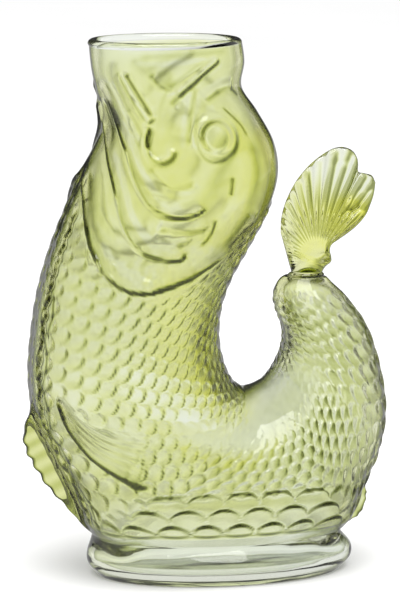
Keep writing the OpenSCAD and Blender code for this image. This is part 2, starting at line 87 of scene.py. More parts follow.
# Lines on the skin, each point a station and a turn from the belly edge (0) to the back (1)
GILL_LINE = np.array([3.9, 4.45, 5.35, 6.25, 6.95, 7.28, 7.28, 6.85, 6.25, 5.75, 5.5])
GILL_EDGE = [(3.98, .004), (4.75, .12), (5.41, .186), (5.89, .235), (6.27, .278), (6.66, .332),
             (7.02, .401), (7.17, .465), (7.15, .525), (7.06, .584), (6.94, .629), (6.77, .674),
             (6.35, .735), (5.75, .77)]
CHEEK_EDGE = [(1.9, .019), (2.48, .035), (3.05, .075), (3.62, .142), (4.17, .205), (4.8, .266), (5.22, .299),
              (5.61, .336), (5.97, .381), (6.22, .426), (6.43, .492), (6.52, .557)]
CHEEK_BACK = [(6.27, .572), (6.14, .591), (5.91, .599), (5.59, .595), (5.22, .579), (4.86, .567)]
JAW_EDGE = [(1.31, .052), (1.85, .123), (2.25, .144), (2.74, .162), (3.2, .199), (3.6, .243), (4.14, .288),
            (4.61, .335), (4.98, .379), (5.24, .431), (5.36, .478), (5.36, .522), (5.24, .552)]
CHIN_ARC = [(5.53, .421), (5.7, .476), (5.78, .524), (5.8, .575)]
CHIN_LOW = [(5.78, .422), (5.99, .488), (6.04, .534)]
LIP_OUTER = [(1.01, .219), (1.58, .249), (2.15, .283), (2.72, .313)]
LIP_INNER = [(1.06, .263), (1.58, .299), (2.09, .332), (2.51, .352)]
LIP_CORNER = [(2.78, .325), (3.12, .31), (3.49, .318), (3.79, .348), (3.87, .385), (3.77, .411),
              (3.49, .418)]
LIP_BACK = [(.74, .697), (1.12, .619), (1.54, .555), (1.86, .498), (2.23, .442)]
FUNNEL = [(.62, .655), (.95, .584), (1.33, .519), (1.66, .449), (1.41, .401), (1.06, .372)]
FOLD = [(1.66, .572), (2.21, .539), (2.86, .492), (3.6, .476)]
SNOUT = [(4, .343), (4.33, .386), (4.58, .431), (4.67, .476), (4.61, .508)]
EYE_ROUND = [(2.48, .546), (2.88, .512), (3.28, .502), (3.7, .511), (4, .539), (4.1, .581), (4.02, .619)]
BROW = [(2.02, .589), (1.83, .647), (1.67, .707), (1.71, .774)]
BROW_BACK = [(2.4, .66), (2.8, .685), (3.2, .711), (3.56, .718)]
NAPE = [(3.54, .708), (4.1, .734), (4.69, .735), (5.38, .722), (5.95, .712), (6.37, .692), (6.6, .655)]
NAPE_SHINE = [(3.85, .664), (4.33, .685), (4.99, .672), (5.62, .652), (6.1, .631)]
PECTORAL_TOP = [(9.15, .2), (9.8, .274), (10.3, .331), (10.75, .397), (11.1, .463)]
PECTORAL_EDGE = [(9.31, .192), (9.77, .207), (10.38, .225), (11.04, .249), (11.5, .289), (11.9, .326),
                 (12.21, .356), (12.38, .399)]
# The crests of the lips, then the short marks of painted shade and the soft bands of painted highlight or
# painted shade beside the lines
LIP_CREST = [(1.0, .241), (1.58, .274), (2.12, .308), (2.7, .336)]
FUNNEL_CREST = [(.6, .682), (1.03, .605), (1.43, .54), (1.85, .47)]
LIP_SHINE = [(1.03, .241), (1.58, .274), (2.12, .308), (2.6, .332)]
FUNNEL_SHINE = [(.68, .676), (1.03, .602), (1.43, .537), (1.76, .474)]
EYE_SHINE = [(2.55, .575), (2.55, .62)]
CHEEK_SHADE_DASH = [(4.54, .628), (4.84, .628), (5.11, .629)]
NAPE_SHADE_DASH = [(1.81, .757), (2.19, .808)]
JAW_SHINE = [(1.2, .17), (1.9, .2), (2.6, .235), (3.3, .275)]
JAW_SHADE = [(1.1, .19), (1.8, .223), (2.5, .258), (3.2, .295)]
THROAT_SHADE = [(.5, .33), (.45, .45), (.42, .6), (.4, .75)]
THROAT_SHINE = [(.72, .3), (.74, .42), (.7, .52), (.62, .64)]
MOUTH_SHADE = [(.95, .41), (1.3, .43), (1.6, .44)]


def moved(line: Line, along: float, turned: float) -> Line:
    """The same line, further along the fish and further round it."""
    return [(u + along, t + turned) for u, t in line]


@dataclass(frozen=True)
class Plate:
    """A plate of the head that rises over run to its free edge and drops off there over fall."""

    edge: Line
    inside: tuple[float, float]
    rise: float
    run: float
    fall: float


@dataclass(frozen=True)
class Ridge:
    """A rounded ridge along a line, or a groove where its rise is negative, in millimetres."""

    places: Line
    rise: float
    width: float


@dataclass(frozen=True)
class Stroke:
    """A line of painted colour: painted shade where its tone is below 0, painted highlight where it is
    above. Its width is half of what shows.
    """

    places: Line
    width: float
    tone: float


@dataclass(frozen=True)
class Spot:
    """A soft round spot of the middle plane, with its half sizes in millimetres and its amount."""

    x: float
    z: float
    wide: float
    high: float
    amount: float

    def at(self, x: np.ndarray, z: np.ndarray) -> np.ndarray:
        """How much of the spot there is at places along and up."""
        return self.amount * np.exp(-(((x - self.x) / self.wide) ** 2 + ((z - self.z) / self.high) ** 2))


PLATES = [Plate(GILL_EDGE, (5.0, 0.5), 2.2, 12.0, 1.6), Plate(CHEEK_EDGE, (4.6, 0.45), 1.3, 9.0, 1.6),
          Plate(JAW_EDGE, (3.6, 0.42), 1.1, 7.0, 1.5), Plate(CHIN_ARC, (5.0, 0.5), 0.4, 5.0, 2.2),
          Plate(CHIN_LOW, (5.0, 0.5), 0.3, 4.0, 2.2)]
RIDGES = [Ridge(groove, -0.3, 3.2) for groove in (LIP_OUTER, LIP_INNER, LIP_BACK, FUNNEL, FOLD, SNOUT)]
RIDGES += [Ridge(LIP_CREST, 0.7, 4.0), Ridge(FUNNEL_CREST, 0.7, 4.0), Ridge(LIP_CORNER, 0.6, 3.0),
           Ridge(BROW, 0.6, 4.0)]
# Painted shade and painted highlight: dark lines painted along the sharp edges of the relief, and pale bands
# painted beside them
STROKES = [
    Stroke(PECTORAL_EDGE, 1.3, -3.0), Stroke(PECTORAL_TOP, 2.6, 1.4),
    Stroke(GILL_EDGE[:5], 0.95, -2.2), Stroke(GILL_EDGE[4:8], 0.6, -0.9), Stroke(GILL_EDGE[7:12], 1.0, -2.2),
    Stroke(moved(GILL_EDGE[3:11], -.3, .012), 1.5, 1.0),
    Stroke(CHEEK_EDGE[1:6], 0.8, -2.0), Stroke(CHEEK_EDGE[5:], 0.6, -0.8), Stroke(CHEEK_BACK[:4], 0.8, -1.7),
    Stroke(moved(CHEEK_EDGE[3:11], -.22, .018), 1.5, 1.0),
    Stroke(JAW_EDGE[1:6], 0.8, -2.0), Stroke(JAW_EDGE[5:], 0.6, -0.7),
    Stroke(moved(JAW_EDGE[2:12], -.2, .018), 1.4, 1.0),
    Stroke(CHIN_ARC, 1.0, -0.35), Stroke(EYE_SHINE, 2.6, 0.7), Stroke(SNOUT, 0.6, -0.4),
    Stroke(FOLD, 0.6, -0.5), Stroke(moved(FOLD, 0.0, -.026), 1.3, 0.6), Stroke(LIP_OUTER, 0.8, -0.8),
    Stroke(LIP_INNER, 0.8, -0.6), Stroke(LIP_SHINE, 0.9, 0.8), Stroke(LIP_CORNER[:3], 0.8, -2.0),
    Stroke(LIP_CORNER[2:], 0.6, -0.8),
    Stroke(LIP_BACK, 0.8, -0.7), Stroke(FUNNEL, 0.9, -0.6), Stroke(FUNNEL_SHINE, 0.9, 0.8),
    Stroke(EYE_ROUND, 0.7, -0.8), Stroke(BROW, 1.3, 0.9), Stroke(BROW_BACK, 0.7, -1.2),
    Stroke(NAPE, 4.2, -0.8), Stroke(NAPE_SHINE, 3.4, 0.7), Stroke(CHEEK_SHADE_DASH, 1.2, -1.3),
    Stroke(NAPE_SHADE_DASH, 1.3, -1.3), Stroke(JAW_SHINE, 1.3, 0.5), Stroke(JAW_SHADE, 1.0, -0.5),
    Stroke(THROAT_SHADE, 1.5, -0.45), Stroke(THROAT_SHINE, 0.9, 0.6), Stroke(MOUTH_SHADE, 4.0, -0.5)]

# Stations with the millimetres round half the fish there, and turns with the millimetres between two
# rows of scales there
GIRTHS = ((0.0, 4.0, 8.0, 12.0, 16.0, 19.0, 21.0, 23.0, 25.0, 27.0),
          (95.0, 125.0, 150.0, 160.0, 150.0, 140.0, 108.0, 78.0, 48.0, 22.0))
ROW_PITCHES = ((0.25, 0.5, 1.0), (8.0, 4.8, 4.8))
# The two fins on the belly edge: how high they stand, as shares of their height, from front to back
BELLY_FIN = np.array([0, .22, .72, .97, 1, .95, .83, .58, .28, 0])
REAR_FIN = np.array([0, .55, .95, 1, .88, .55, 0])
# The fan's outline from the neck to its far tip and its edge at the back, as shares of its sizes
TAIL_FIN = np.array([
    (-.28, .32), (-.275, .43), (-.235, .555), (-.165, .675), (-.08, .775), (.04, .875), (.18, .955),
    (.29, .995), (.39, 1), (.48, .97), (.53, .915), (.543, .86), (.545, .8), (.61, .785), (.69, .765),
    (.73, .71)])
FIN_BACK = np.array([
    (.162, 0), (.195, .035), (.25, .08), (.254, .125), (.242, .17), (.262, .215), (.34, .255), (.43, .3),
    (.515, .35), (.59, .41), (.64, .465), (.675, .525), (.705, .59), (.722, .65), (.73, .71)])
# The foot's side: how high, as a share of its height, and how far out from the crease to the full oval
FOOT_PROFILE = np.array([(1.0, 0.0), (.94, .07), (.85, .26), (.75, .52), (.64, .79), (.54, .95), (.45, 1.0)])


def smooth(low: float, high: float, value: np.ndarray) -> np.ndarray:
    """0 under low, 1 over high and a smooth rise between."""
    t = np.clip((value - low) / (high - low), 0.0, 1.0)
    return t * t * (3.0 - 2.0 * t)


def curve(rows: np.ndarray, at: np.ndarray) -> np.ndarray:
    """A smooth curve through evenly spaced rows.

    Args:
        rows: the rows, one number or several in each.
        at: row numbers, of any shape.

    Returns:
        The rows between, in the shape of at with a row's numbers last.
    """
    table = rows if rows.ndim > 1 else rows[:, None]
    table = np.vstack([2 * table[0] - table[1], table, 2 * table[-1] - table[-2]])
    at = np.asarray(at, float)
    i = np.clip(np.floor(at).astype(int), 0, len(table) - 4)
    t = (at - i)[..., None]
    p, q, r, s = table[i], table[i + 1], table[i + 2], table[i + 3]
    value = (2 * q + (r - p) * t + (2 * p - 5 * q + 4 * r - s) * t**2 + (3 * q - p - 3 * r + s) * t**3) / 2
    return value if rows.ndim > 1 else value[..., 0]


def share_curve(rows: np.ndarray, share: np.ndarray) -> np.ndarray:
    """The same curve, read at a share of its whole run."""
    return curve(rows, np.asarray(share) * (len(rows) - 1))


def unit(v: np.ndarray) -> np.ndarray:
    """The vectors at length 1."""
    return v / np.maximum(np.linalg.norm(v, axis=-1, keepdims=True), 1e-12)


# The smooth stretch of glass under the saddle and up into the tail, which also carries a painted highlight,
# and the thick glass of the nape, each as places along and up, in millimetres
SADDLE_SMOOTH_AND_HIGHLIGHT = np.array([(-18, 76), (-8, 70), (3, 67), (14.5, 67.5), (25.5, 73), (34.5, 81.5), (39.5, 90)])
NAPE_BAND = np.array([(22, 198), (29, 180), (24, 160), (13, 145)])


def band(x: np.ndarray, z: np.ndarray, width: float, way: np.ndarray = SADDLE_SMOOTH_AND_HIGHLIGHT) -> np.ndarray:
    """A soft band along a line of the middle plane.

    Args:
        x: places along, in millimetres.
        z: places up, in millimetres.
        width: half the band's width, in millimetres.
        way: the line, as places along and up.

    Returns:
        1 on the line, falling to 0 beside it.
    """
    best = np.full(np.shape(x), 1e6)
    for (x0, z0), (x1, z1) in zip(way[:-1], way[1:]):
        along, up = x1 - x0, z1 - z0
        t = np.clip(((x - x0) * along + (z - z0) * up) / (along**2 + up**2), 0.0, 1.0)
        best = np.minimum(best, np.hypot(x - x0 - t * along, z - z0 - t * up))
    return np.exp(-((best / width) ** 2))


@dataclass(frozen=True)
class FishForm:
    """The bent tube of the fish in millimetres, with the same sizes as the solid model."""

    height: float = 240.0
    length: float = 164.0
    depth: float = 97.0
    wall: float = 3.6
    foot_height: float = 18.0
    fullness: float = 0.95
    columns: int = 340
    rim_station: float = 0.247
    saddle_rows: int = 112

    def ends(self, u: np.ndarray, inset: float = 0.0) -> tuple[np.ndarray, np.ndarray, np.ndarray]:
        """The two ends of a station in the middle plane and its half depth.

        Args:
            u: stations along the fish, of any shape.
            inset: how far inside the skin, in millimetres.

        Returns:
            The end at the belly edge and the end at the back, each as along and up, and the half depth.
        """
        s = curve(STATIONS, u)
        low = np.stack([s[..., 0] * self.length, s[..., 1] * self.height], -1)
        high = np.stack([s[..., 2] * self.length, s[..., 3] * self.height], -1)
        way = unit(high - low)
        return low + way * inset, high - way * inset, s[..., 4] * self.depth - inset

    def skin(self, u: np.ndarray, a: np.ndarray, inset: float = 0.0) -> np.ndarray:
        """Points of the skin.

        Args:
            u: stations along the fish, of any shape.
            a: angles round the fish from the belly edge, in radians.
            inset: how far inside the skin, in millimetres.

        Returns:
            The points in millimetres, with x, y and z last.
        """
        u, a = np.broadcast_arrays(np.asarray(u, float), np.asarray(a, float))
        low, high, half = self.ends(u, inset)
        at = low + (high - low) * ((1 - np.cos(a)) / 2)[..., None]
        side = -half * np.sign(np.sin(a)) * np.abs(np.sin(a)) ** self.fullness
        return np.stack([at[..., 0], side, at[..., 1]], -1)

    def outward(self, u: np.ndarray, a: np.ndarray) -> np.ndarray:
        """The directions that point away from the glass.

        Args:
            u: stations along the fish, of any shape.
            a: angles round the fish from the belly edge, in radians.

        Returns:
            Unit vectors, with x, y and z last.
        """
        nudge = 0.01
        along = self.skin(u + nudge, a) - self.skin(u - nudge, a)
        around = self.skin(u, a + nudge) - self.skin(u, a - nudge)
        return unit(np.cross(along, around))

    def crease_station(self, above: float, below: float, inset: float) -> float:
        """The station between two others where the belly edge meets the foot's crease.

        Args:
            above: a station where the edge is over the crease.
            below: a station where the edge is under it.
            inset: how far inside the skin, in millimetres.

        Returns:
            The station.
        """
        for _ in range(30):
            middle = (above + below) / 2
            over = float(self.ends(np.array(middle), inset)[0][1]) > self.foot_height
            above, below = (middle, below) if over else (above, middle)
        return (above + below) / 2

    def crease_ends(self, inset: float) -> tuple[float, float]:
        """The first and the last station that the foot's crease cuts."""
        return self.crease_station(12.0, 16.0, inset), self.crease_station(20.0, 16.0, inset)

    def cut_angle(self, u: np.ndarray, inset: float) -> np.ndarray:
        """How far round from the belly edge stations are cut off by the crease.

        Args:
            u: stations along the fish, of any shape.
            inset: how far inside the skin, in millimetres.

        Returns:
            The angles, in radians.
        """
        low, high, _ = self.ends(u, inset)
        share = (self.foot_height - low[..., 1]) / (high[..., 1] - low[..., 1])
        return np.arccos(1 - 2 * np.clip(share, 0.0, 1.0))

    def gill(self, a: np.ndarray) -> np.ndarray:
        """The station of the gill line at an angle."""
        turn = np.where(a > HALF, FULL - a, a) / HALF
        return share_curve(GILL_LINE, turn)

    def column_shares(self, count: int) -> np.ndarray:
        """Shares of the turn, closer together at the belly edge, where the fins stand."""
        v = np.arange(count + 1) / count
        return v - 0.3 / FULL * np.sin(FULL * v) - 0.3 / (2 * FULL) * np.sin(2 * FULL * v)


@dataclass(frozen=True)
class Nearest:
    """Where points lie beside a line: how far off, at what share of it and on which side."""

    distance: np.ndarray
    share: np.ndarray
    side: np.ndarray


@dataclass(frozen=True)
class SlopeLight:
    """Painted shade and painted highlight from the slope of the relief: how bright the slope paints the
    glass. A steep face is painted dark, for the dark beside the jug that it would bend in, most of all one
    that slopes towards the tail and down or towards the mouth and up, and one that slopes the other way
    is painted pale. Round the foot, every steep face is painted dark."""

    along: float = 0.8
    up: float = -0.6
    level: float = 0.7
    lit_gain: float = 3.2
    dark_gain: float = 5.6
    foot_top: float = 45.0
    foot_level: float = 0.25
    foot_fall: float = 3.6
    steep_from: float = 0.16
    steep_fall: float = 1.2

    def tone(self, points: np.ndarray, rise: np.ndarray) -> np.ndarray:
        """The painted shade and painted highlight of each place.

        Args:
            points: places on the smooth skin, as rows and columns.
            rise: the height of the relief at each.

        Returns:
            A tone from -1, painted dark, to 1, painted bright.
        """
        one, two = np.gradient(points, axis=1), np.gradient(points, axis=0)
        h_one, h_two = np.gradient(rise, axis=1), np.gradient(rise, axis=0)
        e, f, g = (np.einsum("...i,...i", p, q) for p, q in ((one, one), (one, two), (two, two)))
        flat = np.maximum(e * g - f * f, 1e-9)
        slope = (((g * h_one - f * h_two) / flat)[..., None] * one
                 + ((e * h_two - f * h_one) / flat)[..., None] * two)
        steep = np.sqrt(np.einsum("...i,...i", slope, slope))
        across = self.along * slope[..., 0] + self.up * slope[..., 2]
        lit = np.where(across < 0, self.dark_gain * across, self.lit_gain * across)
        lit = np.where(points[..., 2] < self.foot_top, self.foot_level - self.foot_fall * steep, lit)
        lit = self.level + lit - self.steep_fall * np.maximum(steep - self.steep_from, 0.0)
        return np.clip(lit, -1.0, 1.0)


SLOPE_LIGHT = SlopeLight()


@dataclass(frozen=True)
class Eye:
    """The raised round eye: a dome in a ring, in millimetres, with no other relief close to it."""

    place: tuple[float, float] = (3.36, .583)
    clear: tuple[float, float] = (9.8, 12.0)
    calm: tuple[float, float] = (11.0, 14.0)
    ring_radius: float = 8.2
    ring_width: float = 2.0
    ring_rise: float = 0.7
    dome_radius: float = 5.6
    dome_rise: float = 0.8


@dataclass(frozen=True)
class Lattice:
    """A lattice of overlapping scales: millimetres from one to the next along the fish, the number of
    rows from the belly edge to the back, and millimetres over which a free edge drops."""

    pitch: float
    rows: float
    edge_run: float


@dataclass
class Relief:
    """The moulded relief of the skin: how far each place stands out, in millimetres. A pair of numbers
    is where a feature starts to show or to fade, and where it has done so."""

    form: FishForm
    eye: Eye = Eye()
    body_scales: Lattice = Lattice(7.4, 21.0, 1.6)
    tail_scales: Lattice = Lattice(7.6, 11.0, 1.4)
    arches_round: float = 13.0
    arch_height: float = 7.4
    arch_run: float = 1.6
    arch_foot: float = 16.8
    under_rim: tuple[float, float] = (0.4, 0.8)
    plates_from: tuple[float, float] = (1.4, 2.4)
    plates_to: tuple[float, float] = (-0.12, 0.0)
    plates_round: float = 0.8
    scales_from: tuple[float, float] = (0.06, 0.22)
    scales_to: tuple[float, float] = (24.0, 26.0)
    tail_scales_from: tuple[float, float] = (20.6, 21.8)
    bolder_from: tuple[float, float] = (15.0, 20.0)
    head_to: float = 9.0
    fin_from: float = 8.0
    fin_to: float = 13.5
    fin_inside: tuple[float, float] = (10.6, 0.3)
    fin_rise: float = 2.3
    fin_drop: float = 2.25
    fin_rays: float = 6.0
    fin_ray_height: float = 0.13
    dimple_height: float = 0.5
    dimple_spread: float = 2.6
    dimples_from: tuple[float, float] = (5.8, 6.5)
    dimples_least: float = 0.12
    # The two dark lines of painted shade beside the chain of beads: where they lie, how they swing and how
    # dark they are
    bead_turn: float = 0.105
    bead_least: float = 0.008
    bead_swing: float = 0.026
    bead_length: float = 19.0
    bead_width: float = 0.0075
    bead_dark: float = 1.5
    beads_to: tuple[float, float] = (24.5, 25.5)
    groove: float = 0.9
    neck_groove: float = 26.62
    saddle_width: float = 6.0
    stroke_gain: float = 1.1
    belly_fin_height: float = 9.6
    rear_fin_height: float = 6.6

    def __post_init__(self) -> None:
        """Measures the crease and the way along the fish, and draws the dimples of the plates."""
        self.start, self.end = self.form.crease_ends(0.0)
        self.chest_end, self.belly_end = self.start - 0.3, self.end + 1.2
        u = np.linspace(0.0, LAST, 400)
        middle = self.form.skin(u, np.full_like(u, HALF / 2))
        steps = np.linalg.norm(np.diff(middle, axis=0), axis=1)
        self.arc_u, self.arc = u, np.concatenate([[0.0], np.cumsum(steps)])
        seed = np.random.default_rng(7)
        self.dimples = np.stack([seed.uniform(1.6, 7.2, 520), seed.uniform(0.05, 0.75, 520)], -1)
        self.dimple_depths = seed.uniform(-1.0, 1.0, 520)

    def line(self, places: Line, count: int = 60) -> tuple[np.ndarray, np.ndarray]:
        """Points of a line on the left side.

        Args:
            places: the line, as stations and turns.
            count: how many points.

        Returns:
            The points in millimetres, and the outward direction at each.
        """
        at = share_curve(np.array(places, float), np.linspace(0.0, 1.0, count))
        return self.form.skin(at[:, 0], at[:, 1] * HALF), self.form.outward(at[:, 0], at[:, 1] * HALF)

    def nearest(self, points: np.ndarray, places: Line, reach: float,
                inside: tuple[float, float] | None = None) -> Nearest:
        """Where points lie beside a line on the left side.

        Args:
            points: places on the left side, in millimetres.
            places: the line, as stations and turns.
            reach: how far from the line it matters.
            inside: a place whose side counts as positive.

        Returns:
            The distance, share and side of each point. Points out of reach have a large distance.
        """
        line, ups = self.line(places)
        flat = points.reshape(-1, 3)
        distance = np.full(len(flat), 1e3)
        share = np.zeros(len(flat))
        side = np.ones(len(flat))
        close = np.nonzero(np.all((flat > line.min(0) - reach) & (flat < line.max(0) + reach), axis=1))[0]
        near = flat[close]
        best, at, which = np.full(len(near), 1e6), np.zeros(len(near)), np.ones(len(near))
        for i in range(len(line) - 1):
            step = line[i + 1] - line[i]
            t = np.clip((near - line[i]) @ step / (step @ step), 0.0, 1.0)
            off = near - line[i] - t[:, None] * step
            d = np.einsum("ij,ij->i", off, off)
            new = d < best
            best[new] = d[new]
            at[new] = (i + t[new]) / (len(line) - 1)
            which[new] = np.sign(off[new] @ np.cross(ups[i], step) + 1e-9)
        distance[close], share[close], side[close] = np.sqrt(best), at, which
        if inside is not None:
            probe = self.form.skin(np.array([inside[0]]), np.array([inside[1] * HALF]))
            side = side * self.nearest(probe, places, 500.0).side[0]
        shape = points.shape[:-1]
        return Nearest(distance.reshape(shape), share.reshape(shape), side.reshape(shape))

    def strokes(self, u: np.ndarray, a: np.ndarray) -> np.ndarray:
        """Painted shade and painted highlight: dark lines painted along the sharp edges of the relief, pale
        bands painted beside them, a pale band painted along the saddle and two dark lines painted beside the
        beads of the belly edge.

        Args:
            u: stations along the fish, of any shape.
            a: angles round the fish from the belly edge, in radians.

        Returns:
            What is added to the tone at each place.
        """
        left = np.where(a > HALF, FULL - a, a)
        points = self.form.skin(u, left)
        total = np.zeros(points.shape[:-1])
        for stroke in STROKES:
            near = self.nearest(points, stroke.places, 3.0 * stroke.width)
            drawn = self.stroke_gain * stroke.tone * np.exp(-((near.distance / stroke.width) ** 2))
            total += drawn * self.ends_fade(near.share, 0.12)
        # Painted highlight: a pale band along the smooth stretch under the saddle
        total += self.stroke_gain * band(points[..., 0], points[..., 2], self.saddle_width)
        turn = left / HALF
        at = np.interp(u, self.arc_u, self.arc)
        swing = self.bead_least + self.bead_swing * np.abs(np.cos(HALF * at / self.bead_length))
        along = smooth(6.4, 7.2, u) * (1.0 - smooth(12.4, 13.2, u)) + 0.6 * smooth(20.0, 21.0, u)
        beads = along * (1.0 - smooth(*self.beads_to, u))
        # Painted shade: two dark lines painted beside the chain of beads near the belly edge
        for centre in (self.bead_turn - swing, self.bead_turn + swing):
            total -= self.bead_dark * np.exp(-((turn - centre) / self.bead_width) ** 2) * beads
        return total

    @staticmethod
    def ends_fade(share: np.ndarray, run: float = 0.08) -> np.ndarray:
        """1 along a line, falling to 0 at both its ends."""
        return smooth(0.0, run, share) * smooth(0.0, run, 1.0 - share)

    def ridge(self, points: np.ndarray, ridge: Ridge) -> np.ndarray:
        """The height of a ridge or groove."""
        near = self.nearest(points, ridge.places, 3 * ridge.width)
        return ridge.rise * np.exp(-(near.distance / ridge.width * 2.0) ** 2) * self.ends_fade(near.share)

    def plate(self, points: np.ndarray, plate: Plate) -> np.ndarray:
        """The height of a plate of the head.

        Args:
            points: places on the left side, in millimetres.
            plate: the plate.

        Returns:
            The height at each place, in millimetres.
        """
        to_edge = self.nearest(points, plate.edge, 1.5 * plate.run, plate.inside)
        rising = plate.rise * (1.0 - np.clip(to_edge.distance / plate.run, 0.0, 1.0)) ** 1.4
        dropping = plate.rise * (1.0 - smooth(0.0, plate.fall, to_edge.distance))
        return np.where(to_edge.side > 0, rising, dropping) * self.ends_fade(to_edge.share, 0.05)

    def scale_cells(self, along: np.ndarray, across: np.ndarray, pitch: np.ndarray,
                    edge_run: float) -> np.ndarray:
        """Overlapping scales with their free edges towards the back, from 0 to about 1.

        Args:
            along: the place along the fish, in columns of scales.
            across: the place from the belly edge to the back, in rows of scales.
            pitch: millimetres from row to row.
            edge_run: millimetres over which a free edge drops.

        Returns:
            The height of the scales as a share of their full height.
        """
        row = np.floor(across)

        def scale(number: np.ndarray) -> tuple[np.ndarray, np.ndarray]:
            """One row's scales.

            Args:
                number: the number of the row.

            Returns:
                Their height, and the millimetres left to their free edge.
            """
            x = along + 0.5 * np.mod(number, 2.0)
            x = x - np.floor(x) - 0.5
            reach = 1.0 + 0.78 * np.sqrt(np.clip(1.0 - 4.0 * x * x, 0.0, 1.0))
            y = across - number
            height = 0.62 * np.clip(y / reach, 0.0, 1.2) + 0.38 * (1.0 - 4.0 * x * x)
            return height, (reach - y) * pitch

        top, left = scale(row - 1.0)
        under, _ = scale(row)
        cover = smooth(-edge_run / 2, edge_run / 2, left)
        return top * cover + under * (1.0 - cover)

    def scales(self, u: np.ndarray, turn: np.ndarray) -> np.ndarray:
        """The scales of the chest, belly and tail over and under the skin, low where they are crowded.

        Args:
            u: stations along the fish, of any shape.
            turn: turns from the belly edge (0) to the back (1).

        Returns:
            The height at each place, as a share of a scale's full height.
        """
        at = np.interp(u, self.arc_u, self.arc)
        sections = np.linspace(0.0, 1.0, 181)
        pitches = np.interp(sections, *ROW_PITCHES)
        rows = np.concatenate([[0.0], np.cumsum(1.0 / pitches[:-1])])
        rows = rows / rows[-1]
        girth = np.interp(u, *GIRTHS)
        row_share = np.interp(turn, sections, rows)
        slope = np.interp(turn, sections, np.gradient(rows, sections))
        fine = self.stride(u, turn * HALF) / self.stride(u, np.full_like(turn, HALF / 2))
        body, tail = (self.scale_cells(at / kind.pitch, row_share * kind.rows + 0.35,
                                       girth / (kind.rows * slope), kind.edge_run)
                      for kind in (self.body_scales, self.tail_scales))
        turn_over = smooth(*self.tail_scales_from, u)
        mixed = body * (1 - turn_over) + tail * turn_over
        room = smooth(1.6, 3.6, 6.3 * fine) * np.clip(1.3 * fine, 0.0, 1.0)
        return (mixed - 0.4) * room

    def stride(self, u: np.ndarray, a: np.ndarray) -> np.ndarray:
        """How far apart two stations just before and after each place lie, in millimetres."""
        nudge = 0.02
        return np.linalg.norm(self.form.skin(u + nudge, a) - self.form.skin(u - nudge, a), axis=-1)

    def head_lines(self, points: np.ndarray) -> np.ndarray:
        """The gill covers, cheeks, jaw, lips and eyes.

        Args:
            points: places on the left side, in millimetres.

        Returns:
            The height at each place, in millimetres.
        """
        h = np.zeros(points.shape[:-1])
        for plate in PLATES:
            h = h + self.plate(points, plate)
        for ridge in RIDGES:
            h = h + self.ridge(points, ridge)
        r = self.from_eye(points)
        h = h * smooth(*self.eye.clear, r)
        h = h + self.eye.ring_rise * np.exp(-((r - self.eye.ring_radius) / self.eye.ring_width) ** 2)
        return h + self.eye.dome_rise * np.clip(1.0 - (r / self.eye.dome_radius) ** 2, 0.0, 1.0)

    def from_eye(self, points: np.ndarray) -> np.ndarray:
        """How far places lie from the middle of the eye, in millimetres."""
        station, turn = self.eye.place
        return np.linalg.norm(points - self.form.skin(np.array(station), np.array(turn * HALF)), axis=-1)

    def hammered(self, points: np.ndarray, u: np.ndarray) -> np.ndarray:
        """The uneven hammered look of the plates behind the mouth.

        Args:
            points: places on the left side, in millimetres.
            u: their stations.

        Returns:
            The height at each place, in millimetres.
        """
        spots = self.form.skin(self.dimples[:, 0], self.dimples[:, 1] * HALF)
        flat = points.reshape(-1, 3)
        h = np.zeros(len(flat))
        for spot, size in zip(spots, self.dimple_depths):
            d2 = np.einsum("ij,ij->i", flat - spot, flat - spot)
            h += size * np.exp(-d2 / self.dimple_spread)
        clear = smooth(*self.eye.calm, self.from_eye(points))
        low = smooth(*self.dimples_from, u) + self.dimples_least
        return self.dimple_height * h.reshape(points.shape[:-1]) * clear * low

    def pectoral(self, points: np.ndarray) -> tuple[np.ndarray, np.ndarray]:
        """The ribbed side fin.

        Args:
            points: places on the left side, in millimetres.

        Returns:
            The fin's height, and how much of each place it covers.
        """
        to_edge = self.nearest(points, PECTORAL_EDGE, 30.0, self.fin_inside)
        to_top = self.nearest(points, PECTORAL_TOP, 30.0, self.fin_inside)
        within = (to_edge.side > 0) & (to_top.side > 0) & (to_edge.distance < 900.0)
        share = to_top.distance / np.maximum(to_top.distance + to_edge.distance, 1e-6)
        fade = self.ends_fade(to_edge.share, 0.06)
        fade = fade * (1.0 - 0.9 * smooth(0.5, 1.0, to_edge.share))
        wide = np.clip((to_top.distance + to_edge.distance) / 16.0, 0.0, 1.0)
        rays = self.fin_ray_height * np.cos(FULL * self.fin_rays * share + 1.5 * to_edge.share)
        rays = rays * np.sin(HALF * np.clip(share, 0, 1)) * wide
        rising = (self.fin_rise * share**1.3 + rays) * fade
        below = (to_edge.side <= 0) & (to_edge.distance < 3.0)
        dropping = self.fin_drop * (1.0 - smooth(0.0, 1.7, to_edge.distance)) * fade
        cover = np.where(within, smooth(0.0, 3.0, to_top.distance), 0.0) * fade
        cover = np.maximum(cover, np.where(below, 1.0 - smooth(0.3, 1.6, to_edge.distance), 0.0) * fade)
        return np.where(within, rising, np.where(below, dropping, 0.0)), cover

    def arches(self, points: np.ndarray, u: np.ndarray) -> tuple[np.ndarray, np.ndarray]:
        """The rows of arches round the foot, which take the place of the scales there.

        Args:
            points: places on the left side, in millimetres.
            u: their stations.

        Returns:
            The height of the arches, and how much of each place they take.
        """
        z = points[..., 2]
        bearing = np.arctan2(np.abs(points[..., 1]) / 43.0, (points[..., 0] - 7.2) / 62.0)
        cells = self.scale_cells(self.arches_round * bearing / HALF, (z - self.arch_foot) / self.arch_height,
                                 self.arch_height, self.arch_run)
        low = 1.0 - smooth(41.0, 47.0, z)
        low = low * smooth(12.3, 12.9, u) * (1.0 - smooth(18.9, 19.5, u))
        return (1.7 * cells - 0.4) * smooth(22.0, 26.0, z), low

